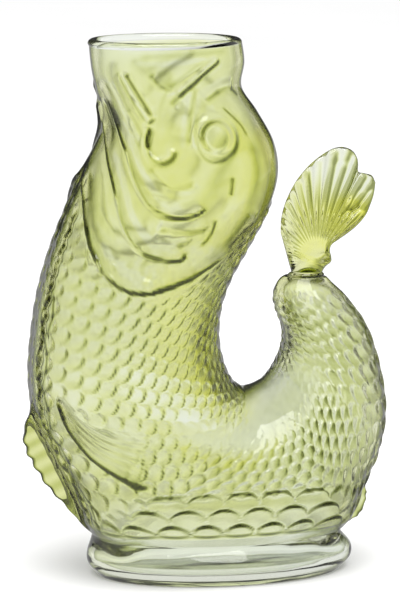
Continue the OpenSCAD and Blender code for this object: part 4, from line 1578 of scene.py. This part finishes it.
@dataclass
class Foot:
    """The hollow oval foot and its thick bottom. The bottom rises by crown inside and by recess below."""

    form: FishForm
    works: Glassworks
    length: float = 121.0
    depth: float = 78.0
    middle: float = 7.2
    tuck: float = 5.0
    side_fall: float = 0.72
    corner: float = 3.0
    bottom: float = 4.0
    crown: float = 0.4
    recess: float = 1.4
    overlap: float = 0.05

    def crease(self, inset: float, part: int) -> np.ndarray:
        """The ring of the crease, from the front along the left side to the back and round.

        Args:
            inset: how far inside the skin, in millimetres.
            part: 1 for all points, 2 for half.

        Returns:
            The points, in millimetres.
        """
        first, last = self.form.crease_ends(inset)
        count = self.form.saddle_rows // part
        u = first + (last - first) * (1 - np.cos(HALF * np.arange(count + 1) / count)) / 2
        cut = self.form.cut_angle(u, inset)
        cut[[0, -1]] = 0.0
        left = self.form.skin(u, cut, inset)
        left[:, 2] = self.form.foot_height
        left[[0, -1], 1] = 0.0
        right = left[1:-1][::-1] * np.array([1.0, -1.0, 1.0])
        return np.concatenate([left, right])

    def oval(self, crease: np.ndarray, inset: float) -> np.ndarray:
        """The foot's outline at its fullest, on the ground.

        Args:
            crease: the ring of the crease.
            inset: how far inside the skin, in millimetres.

        Returns:
            A point for each point of the crease, in millimetres.
        """
        front, back = crease[:, 0].min(), crease[:, 0].max()
        deep = crease[:, 1].max()
        angle = np.arctan2(crease[:, 1] / deep, (crease[:, 0] - (front + back) / 2) / ((back - front) / 2))
        x = self.middle + (self.length / 2 - inset) * np.cos(angle)
        y = (self.depth / 2 - inset) * np.sin(angle)
        return np.stack([x, y, np.zeros_like(x)], -1)

    def rows(self, crease: np.ndarray, inset: float, lower: Line) -> np.ndarray:
        """Rings from the crease down the side, and then on.

        Args:
            crease: the ring of the crease.
            inset: how far inside the skin, in millimetres.
            lower: the rings after the side, each as how far in and how high.

        Returns:
            The rings' points, in millimetres.
        """
        oval = self.oval(crease, inset)
        rings = []
        for share in np.linspace(-0.04, 1.0, 22):
            z, grown = curve(FOOT_PROFILE, np.array(share * (len(FOOT_PROFILE) - 1)))
            ring = crease + (oval - crease) * grown
            ring[:, 2] = self.form.foot_height * z
            rings.append(ring)
        for inward, z in lower:
            ring = self.oval(crease, inset + inward)
            ring[:, 2] = z
            rings.append(ring)
        return np.array(rings)

    def make(self) -> bpy.types.Object:
        """Builds the foot.

        Returns:
            The object.
        """
        full = self.form.foot_height * FOOT_PROFILE[-1, 0]
        side = [(self.tuck * (1 - math.cos(t)), full - full * math.sin(t) * self.side_fall)
                for t in np.linspace(0.0, 1.0, 9)[1:]]
        last_in, last_z = side[-1]
        corner = [(last_in + self.corner * math.sin(t), last_z * (1 - math.sin(t)))
                  for t in np.linspace(0.0, HALF / 2, 8)[1:]]
        standing_ring = ((2.0, 0.0), (6.0, 0.0), (7.0, 0.15), (8.2, 0.9), (9.4, 1.35), (12.0, self.recess),
                         (20.0, self.recess), (30.0, self.recess))
        under = [(corner[-1][0] + inward, z) for inward, z in standing_ring]
        outer_rows = self.rows(self.crease(0.0, 1), 0.0, side + corner + under)
        floor = self.bottom
        inner_low = [(0.6, 6.6), (1.8, 5.2), (3.8, 4.3), (6.5, floor), (12.0, floor),
                     (20.0, floor + self.crown / 2), (28.0, floor + self.crown)]
        inner_rows = self.rows(self.crease(self.form.wall, 2), self.form.wall, inner_low)
        outer = self.closed(outer_rows)
        inner = self.closed(inner_rows)
        inner.ids = inner.ids + outer.count
        bottom, top = outer.count + inner.count, outer.count + inner.count + 1
        points = np.concatenate([outer.points, inner.points, [[self.middle, 0.0, self.recess]],
                                 [[self.middle, 0.0, floor + self.crown]]])
        points[outer.ids[0, :-1], 2] += self.overlap
        points[inner.ids[0, :-1], 2] += self.overlap
        normals = np.concatenate([outer.normals, -inner.normals, [[0.0, 0.0, -1.0]], [[0.0, 0.0, 1.0]]])
        seams = [zip_rings(outer.ids[0, :-1], inner.ids[0, :-1], True)]
        skin = [outer.quads(False), inner.quads(True), fan(outer.ids[-1, :-1], bottom, False),
                fan(inner.ids[-1, :-1], top, True)]
        return self.works.piece("foot", points, skin, seams, Slot.PALE, ["foot", "base"], normals)

    @staticmethod
    def closed(rows: np.ndarray) -> Sheet:
        """A sheet of closed rings.

        Args:
            rows: the rings, of which the first is only there for the slope.

        Returns:
            The sheet.
        """
        rings = np.concatenate([rows, rows[:, :1]], 1)
        rings = np.concatenate([rings, rings[-1:] + (rings[-1:] - rings[-2:-1])])
        return Sheet.build(rings, np.zeros(len(rings) - 2, bool))


# Lines and places on the fan, along and up in millimetres: the ledge of the leaf that overlaps the
# neck, the cleft between the lobes, the curl beside it, the knob at the neck, where the rays start, and
# the thick and thin spots
FAN_LEDGE = [(35.0, 158.0), (37.8, 151.0), (40.2, 144.1), (46.1, 140.3), (52.1, 138.3), (58.0, 138.2)]
FAN_CLEFT = [(69.8, 179.5), (67.6, 172.6), (64.4, 166.0), (60.0, 158.0), (56.0, 151.0)]
FAN_CURL = [(62.6, 159.4), (66.7, 161.2), (70.6, 162.2)]
FAN_KNOB = (54.6, 138.9)
FAN_ROOT = (50.7, 141.0)
FAN_SPOTS = [Spot(66.6, 164.8, 3.2, 1.8, 0.8), Spot(66.0, 158.0, 3.2, 1.8, 0.8),
             Spot(71.5, 170.0, 3.2, 1.8, -0.5), Spot(62.0, 183.0, 3.2, 1.8, -0.4)]


@dataclass
class TailFin:
    """The solid two-lobed fan at the end of the tail, with rays that spread from the neck."""

    form: FishForm
    works: Glassworks
    length: float = 55.6
    width: float = 43.0
    leaf: float = 1.5
    leaf_run: float = 12.0
    ray_pitch: float = 7.4
    ray_height: float = 0.46
    edge_round: float = 2.3
    waist: float = 0.4
    # How the fan's painted shade and painted highlight follow its slopes: the level, the gain and the
    # darkest it gets
    tone_level: float = 0.25
    tone_gain: float = 0.55
    tone_least: float = -0.45
    least: float = 0.7
    overlap: float = 0.05
    columns: int = 170
    rows: int = 84

    @staticmethod
    def beside(at: np.ndarray, line: Line) -> tuple[np.ndarray, np.ndarray]:
        """How far places of the middle plane lie from a line.

        Args:
            at: the places, as along and up.
            line: the line's points, as along and up.

        Returns:
            The distance, and the side of the line, 1 or -1.
        """
        best, side = np.full(at.shape[:-1], 1e6), np.ones(at.shape[:-1])
        for (x0, z0), (x1, z1) in zip(line[:-1], line[1:]):
            way = np.array([x1 - x0, z1 - z0])
            off = at - np.array([x0, z0])
            t = np.clip((off @ way) / (way @ way), 0.0, 1.0)
            gap = off - t[..., None] * way
            d = np.hypot(gap[..., 0], gap[..., 1])
            new = d < best
            best = np.where(new, d, best)
            side = np.where(new, np.sign(way[0] * off[..., 1] - way[1] * off[..., 0] + 1e-9), side)
        return best, side

    def half_thickness(self, at: np.ndarray, share: np.ndarray, outline: np.ndarray) -> np.ndarray:
        """Half the fan's thickness: two lobes with rays, over a leaf on the neck.

        Args:
            at: places of the middle plane, as along and up.
            share: how far each lies on the way from the neck to the edge.
            outline: the fan's border.

        Returns:
            Half the thickness, in millimetres.
        """
        edge, _ = self.beside(at, outline)
        half = 4.4 - 2.7 * share
        ledge, above = self.beside(at, FAN_LEDGE)
        over_neck = self.leaf * (1 - np.clip(ledge / self.leaf_run, 0, 1)) ** 1.5
        half = half + np.where(above > 0, over_neck, self.leaf * (1 - smooth(0, 1.3, ledge)))
        knob = np.hypot(at[..., 0] - FAN_KNOB[0], at[..., 1] - FAN_KNOB[1])
        half = half + 1.3 * np.exp(-((knob / 2.8) ** 2))
        x, z = at[..., 0] - FAN_ROOT[0], at[..., 1] - FAN_ROOT[1]
        far, way = np.hypot(x, z), np.degrees(np.arctan2(z, x))
        rays = np.cos(FULL * way / self.ray_pitch + 0.8 * np.sin(way / 9.0))
        half = half + self.ray_height * rays * smooth(7.0, 14.0, far) * (1.0 - 0.45 * share)
        half = half + 0.25 * np.cos(FULL * way / 21.0 + 1.0) * smooth(10.0, 20.0, far)
        cleft, _ = self.beside(at, FAN_CLEFT)
        half = half - 1.0 * np.exp(-((cleft / 1.5) ** 2)) * smooth(0.2, 0.6, share)
        curl, _ = self.beside(at, FAN_CURL)
        half = half - 1.1 * np.exp(-((curl / 1.2) ** 2))
        for spot in FAN_SPOTS:
            half = half + spot.at(at[..., 0], at[..., 1])
        round_off = np.sqrt(np.clip(1 - (1 - np.clip(edge / self.edge_round, 0.0, 1.0)) ** 2, 0.0, 1.0))
        return np.clip(half, self.least, None) * round_off

    def face(self, side: float) -> tuple[np.ndarray, np.ndarray]:
        """One face of the fan, from the neck's ring to the outline.

        Args:
            side: -1 for the left face, 1 for the right one.

        Returns:
            The points in millimetres, and their tones.
        """
        low, high, half_neck = self.form.ends(np.array(LAST))
        neck, size = (low + high) / 2, np.array([self.width, self.length])
        turn = np.linspace(0.0, 1.0, self.columns + 1)[None, :, None]
        share = 1 - (1 - np.linspace(0.0, 1.0, self.rows + 1)[:, None, None]) ** 1.25
        outline = share_curve(TAIL_FIN, turn[..., 0]) * size + neck
        back = share_curve(FIN_BACK, share[:, 0]) * size + neck
        bend = back - (back[:1, :1] + (back[-1:, :1] - back[:1, :1]) * share)
        angle = HALF * turn
        root = low + (high - low) * (1 + np.cos(angle)) / 2
        at = root + (outline - root) * share + bend * turn ** 1.5
        at[..., 0] -= (self.waist * self.width * share * (1 - share) ** 2 * turn * (1 - turn))[..., 0]
        border = np.concatenate([high[None], outline[0], back[::-1, 0]])
        blade = self.half_thickness(at, share[..., 0] * np.ones_like(turn[..., 0]), border)
        neck_half = half_neck * np.clip(np.sin(angle[..., 0]), 0.0, 1.0) ** self.form.fullness
        half = neck_half + (blade - neck_half) * smooth(0.0, 0.16, share[..., 0])
        half[:, [0, -1]] = 0.0
        half[-1] = 0.0
        flat = np.stack([at[..., 0], np.zeros_like(half), at[..., 1]], -1)
        out = np.broadcast_to(np.array([0.0, side, 0.0]), flat.shape)
        # Painted shade and painted highlight from the fan's slopes
        tone = self.tone_level + self.tone_gain * SLOPE_LIGHT.tone(flat, half)
        return flat + out * half[..., None], np.maximum(tone, self.tone_least)

    def make(self) -> bpy.types.Object:
        """Builds the fan.

        Returns:
            The object.
        """
        (left, left_tone), (right, right_tone) = self.face(-1.0), self.face(1.0)
        m, n = left.shape[:2]
        left_ids = np.arange(m * n).reshape(m, n)
        own = np.ones((m, n), bool)
        own[:, [0, -1]] = False
        own[-1] = False
        right_ids = left_ids.copy()
        right_ids[own] = m * n + np.arange(own.sum())
        points = np.concatenate([left.reshape(-1, 3), right[own]])
        tone = np.concatenate([left_tone.reshape(-1), right_tone[own]])
        quads = []
        for ids, turned in ((left_ids, True), (right_ids, False)):
            faces = np.stack([ids[:-1, :-1], ids[:-1, 1:], ids[1:, 1:], ids[1:, :-1]], -1).reshape(-1, 4)
            quads.append(faces[:, ::-1] if turned else faces)
        points[left_ids[0], 2] -= self.overlap
        points[right_ids[0, 1:-1], 2] -= self.overlap
        lf, rt = left_ids[0], right_ids[0]
        caps = [[lf[k], lf[k + 1], rt[k + 1], rt[k]] for k in range(1, n - 2)]
        ends = [[lf[0], lf[1], rt[1]], [lf[-1], rt[-2], lf[-2]]]
        return self.works.piece("tail_fin", points, quads, [np.array(caps), np.array(ends)], Slot.GREEN,
                                ["tail_fin"], None, tone)


# The studio's walls by bearing, in degrees, then by height: pale screens with darker gaps between them,
# and darker overhead
WALL_TONES = [
    (-180, "#ffffff"), (-160, "#f0f0f0"), (-125, "#d4d4d4"), (-85, "#d8d8d8"), (-58, "#f4f4f4"),
    (-45, "#ffffff"), (-32, "#f4f4f4"), (0, "#dcdcdc"), (22, "#d8d8d8"), (50, "#f0f0f0"), (72, "#ffffff"),
    (92, "#ffffff"), (112, "#f4f4f4"), (134, "#ffffff"), (157, "#e4e4e4"), (180, "#ffffff")]
HEIGHT_TONES = [(0.0, "#ffffff"), (0.15, "#f8f8f8"), (0.32, "#e8e8e8"), (0.55, "#d8d8d8"), (1.0, "#d8d8d8")]
# The floor seen through the glass, by its distance as a share of floor_reach: a painted shadow, a little
# darker under the jug, then white, and how it goes over into the walls
FLOOR_TONES = [(0.0, "#e8e8e8"), (0.06, "#fcfcfc"), (0.16, "#ffffff"), (1.0, "#ffffff")]
FLOOR_TO_WALL = [(0.0, "#ffffff"), (0.1, "#ffffff"), (0.3, "#000000")]


@dataclass(frozen=True)
class SoftBox:
    """A square soft box: its place and side in metres, and its power in watts."""

    name: str
    place: tuple[float, float, float]
    size: float
    power: float


SOFT_BOXES = [SoftBox("overhead_softbox", (-0.05, -0.62, 1.55), 1.1, 19.0),
              SoftBox("rim_softbox", (1.25, 0.35, 0.55), 0.9, 2.0)]


@dataclass
class Studio:
    """The floor, the soft light and the camera."""

    target: tuple[float, float, float] = (0.0, 0.0, 0.12)
    distance: float = 1.6
    azimuth: float = -12.0
    elevation: float = 9.5
    lens: float = 215.6
    sensor: float = 36.0
    shift: tuple[float, float] = (-4.0 / 600.0, 6.4 / 600.0)
    floor_half: float = 40.0
    floor_reach: float = 3.0
    floor_grain: float = 333.0
    mirrored_floor: str = "#c8c8c8"
    mirrored_walls: str = "#484848"
    bounces: int = 24
    clear_bounces: int = 32

    def floor(self) -> None:
        """A plain pale floor."""
        mesh = bpy.data.meshes.new("floor")
        s = self.floor_half
        mesh.from_pydata([(-s, -s, 0), (s, -s, 0), (s, s, 0), (-s, s, 0)], [], [(0, 1, 2, 3)])
        # Matt painted board: an even pale surface with hardly any sheen
        material = bpy.data.materials.new("matt_studio_floor")
        material.use_nodes = True
        tree = material.node_tree
        tree.nodes.clear()
        place = add_node(tree, "ShaderNodeTexCoord").outputs["Object"]
        grain = add_node(tree, "ShaderNodeTexNoise",
                         inputs={"Vector": place, "Scale": 1.0 / (self.floor_grain * MM)})
        colour = ramp(tree, grain.outputs["Fac"], [(0.3, "#f9f9f9"), (0.7, "#fcfcfc")])
        matt = add_node(tree, "ShaderNodeBsdfPrincipled",
                        inputs={"Base Color": colour, "Roughness": 0.9, "Specular IOR Level": 0.0})
        parts = add_node(tree, "ShaderNodeSeparateXYZ", inputs={"Vector": place})
        bearing = self.bearing(tree, parts)
        far = add_node(tree, "ShaderNodeVectorMath", {"operation": "LENGTH"}, {0: place})
        reach = add_node(tree, "ShaderNodeMapRange",
                         inputs={"Value": far.outputs["Value"], "From Min": 0.0,
                                 "From Max": self.floor_reach})
        depth = ramp(tree, reach.outputs["Result"], FLOOR_TONES)
        close = ramp(tree, reach.outputs["Result"], FLOOR_TO_WALL)
        walls = add_node(tree, "ShaderNodeMix", {"data_type": "RGBA", "blend_type": "SCREEN"}, {0: 1.0})
        tree.links.new(bearing, walls.inputs[6])
        tree.links.new(close, walls.inputs[7])
        # Seen through the glass the floor glows: the studio's wall tones far off, and a painted shadow close
        # under the jug
        seen = add_node(tree, "ShaderNodeEmission",
                        inputs={"Color": multiply(tree, walls.outputs[2], depth)})
        mirrored = add_node(tree, "ShaderNodeEmission", inputs={"Color": linear(self.mirrored_floor)})
        shown = self.through_glass(tree, matt.outputs["BSDF"], seen.outputs["Emission"],
                                   mirrored.outputs["Emission"])
        add_node(tree, "ShaderNodeOutputMaterial", inputs={"Surface": shown})
        mesh.materials.append(material)
        obj = bpy.data.objects.new("floor", mesh)
        bpy.context.scene.collection.objects.link(obj)

    @staticmethod
    def bearing(tree: bpy.types.NodeTree, parts: bpy.types.Node) -> bpy.types.NodeSocket:
        """The tone of the studio's walls all round.

        Args:
            tree: the tree that the nodes go in.
            parts: the node that gives the x and y of a direction.

        Returns:
            The tone's socket.
        """
        angle = add_node(tree, "ShaderNodeMath", {"operation": "ARCTAN2"},
                         {0: parts.outputs["Y"], 1: parts.outputs["X"]})
        round_it = add_node(tree, "ShaderNodeMapRange",
                            inputs={"Value": angle.outputs["Value"], "From Min": -math.pi,
                                    "From Max": math.pi})
        stops = [((degrees + 180.0) / 360.0, tone) for degrees, tone in WALL_TONES]
        return ramp(tree, round_it.outputs["Result"], stops)

    @staticmethod
    def through_glass(tree: bpy.types.NodeTree, plain: bpy.types.NodeSocket, seen: bpy.types.NodeSocket,
                      mirrored: bpy.types.NodeSocket) -> bpy.types.NodeSocket:
        """A plain shader, but another one for what is seen through glass or mirrored in it.

        Args:
            tree: the tree that the nodes go in.
            plain: the shader for all else.
            seen: the shader that is seen through glass.
            mirrored: the shader that is mirrored.

        Returns:
            The shader's socket.
        """
        path = add_node(tree, "ShaderNodeLightPath")
        mirror = add_node(tree, "ShaderNodeMixShader", inputs={"Fac": path.outputs["Is Glossy Ray"]})
        tree.links.new(plain, mirror.inputs[1])
        tree.links.new(mirrored, mirror.inputs[2])
        through = add_node(tree, "ShaderNodeMixShader", inputs={"Fac": path.outputs["Is Transmission Ray"]})
        tree.links.new(mirror.outputs["Shader"], through.inputs[1])
        tree.links.new(seen, through.inputs[2])
        return through.outputs["Shader"]

    def world(self) -> None:
        """A white tent of light. What glass bends out of it is the darker gaps and the dark above."""
        world = bpy.data.worlds.new("white_tent")
        bpy.context.scene.world = world
        world.use_nodes = True
        tree = world.node_tree
        tree.nodes.clear()
        light = add_node(tree, "ShaderNodeBackground",
                         inputs={"Color": (1.0, 1.0, 1.0, 1.0), "Strength": 1.0})
        way = add_node(tree, "ShaderNodeTexCoord").outputs["Generated"]
        parts = add_node(tree, "ShaderNodeSeparateXYZ", inputs={"Vector": way})
        walls = self.bearing(tree, parts)
        height = ramp(tree, parts.outputs["Z"], HEIGHT_TONES)
        seen = add_node(tree, "ShaderNodeBackground",
                        inputs={"Color": multiply(tree, walls, height), "Strength": 1.0})
        mirrored = add_node(tree, "ShaderNodeBackground",
                            inputs={"Color": linear(self.mirrored_walls), "Strength": 1.0})
        shown = self.through_glass(tree, light.outputs["Background"], seen.outputs["Background"],
                                   mirrored.outputs["Background"])
        add_node(tree, "ShaderNodeOutputWorld", inputs={"Surface": shown})

    def camera(self) -> None:
        """The photo's camera."""
        az, el = math.radians(self.azimuth), math.radians(self.elevation)
        back = Vector((math.sin(az) * math.cos(el), -math.cos(az) * math.cos(el), math.sin(el)))
        data = bpy.data.cameras.new("camera")
        data.sensor_fit = "VERTICAL"
        data.sensor_height = self.sensor
        data.lens = self.lens
        data.shift_x, data.shift_y = self.shift
        data.clip_end = 200.0
        obj = bpy.data.objects.new("camera", data)
        right = Vector((math.cos(az), math.sin(az), 0.0))
        up = back.cross(right)
        obj.matrix_world = Matrix.Translation(Vector(self.target) + self.distance * back) @ Matrix(
            (right, up, back)).transposed().to_4x4()
        bpy.context.scene.collection.objects.link(obj)
        bpy.context.scene.camera = obj

    def lamp(self, box: SoftBox) -> None:
        """Sets up a soft box that faces the jug and isn't seen through the glass.

        Args:
            box: the soft box.
        """
        data = bpy.data.lights.new(box.name, "AREA")
        data.size = box.size
        data.energy = box.power
        obj = bpy.data.objects.new(box.name, data)
        obj.location = box.place
        way = Vector(self.target) - Vector(box.place)
        obj.rotation_euler = way.to_track_quat("-Z", "Y").to_euler()
        obj.visible_transmission = False
        bpy.context.scene.collection.objects.link(obj)

    def make(self) -> None:
        """Sets up the studio."""
        self.floor()
        self.world()
        for box in SOFT_BOXES:
            self.lamp(box)
        self.camera()
        scene = bpy.context.scene
        scene.view_settings.view_transform = "Standard"
        scene.cycles.max_bounces = self.bounces
        scene.cycles.transmission_bounces = self.bounces
        scene.cycles.transparent_max_bounces = self.clear_bounces


def main() -> None:
    """Builds the jug and its studio."""
    logging.basicConfig(level=logging.INFO, format="%(name)s: %(message)s")
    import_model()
    form = FishForm()
    relief = Relief(form)
    works = Glassworks({Slot.GREEN: GREEN_GLASS, Slot.PALE: PALE_GLASS})
    MouthRim(form, works).make()
    Head(form, relief, works).make()
    Chest(form, relief, works).make()
    Belly(form, relief, works).make()
    Tail(form, relief, works).make()
    TailFin(form, works).make()
    Foot(form, works).make()
    Studio().make()
    bpy.context.view_layer.update()


if __name__ == "__main__":
    main()
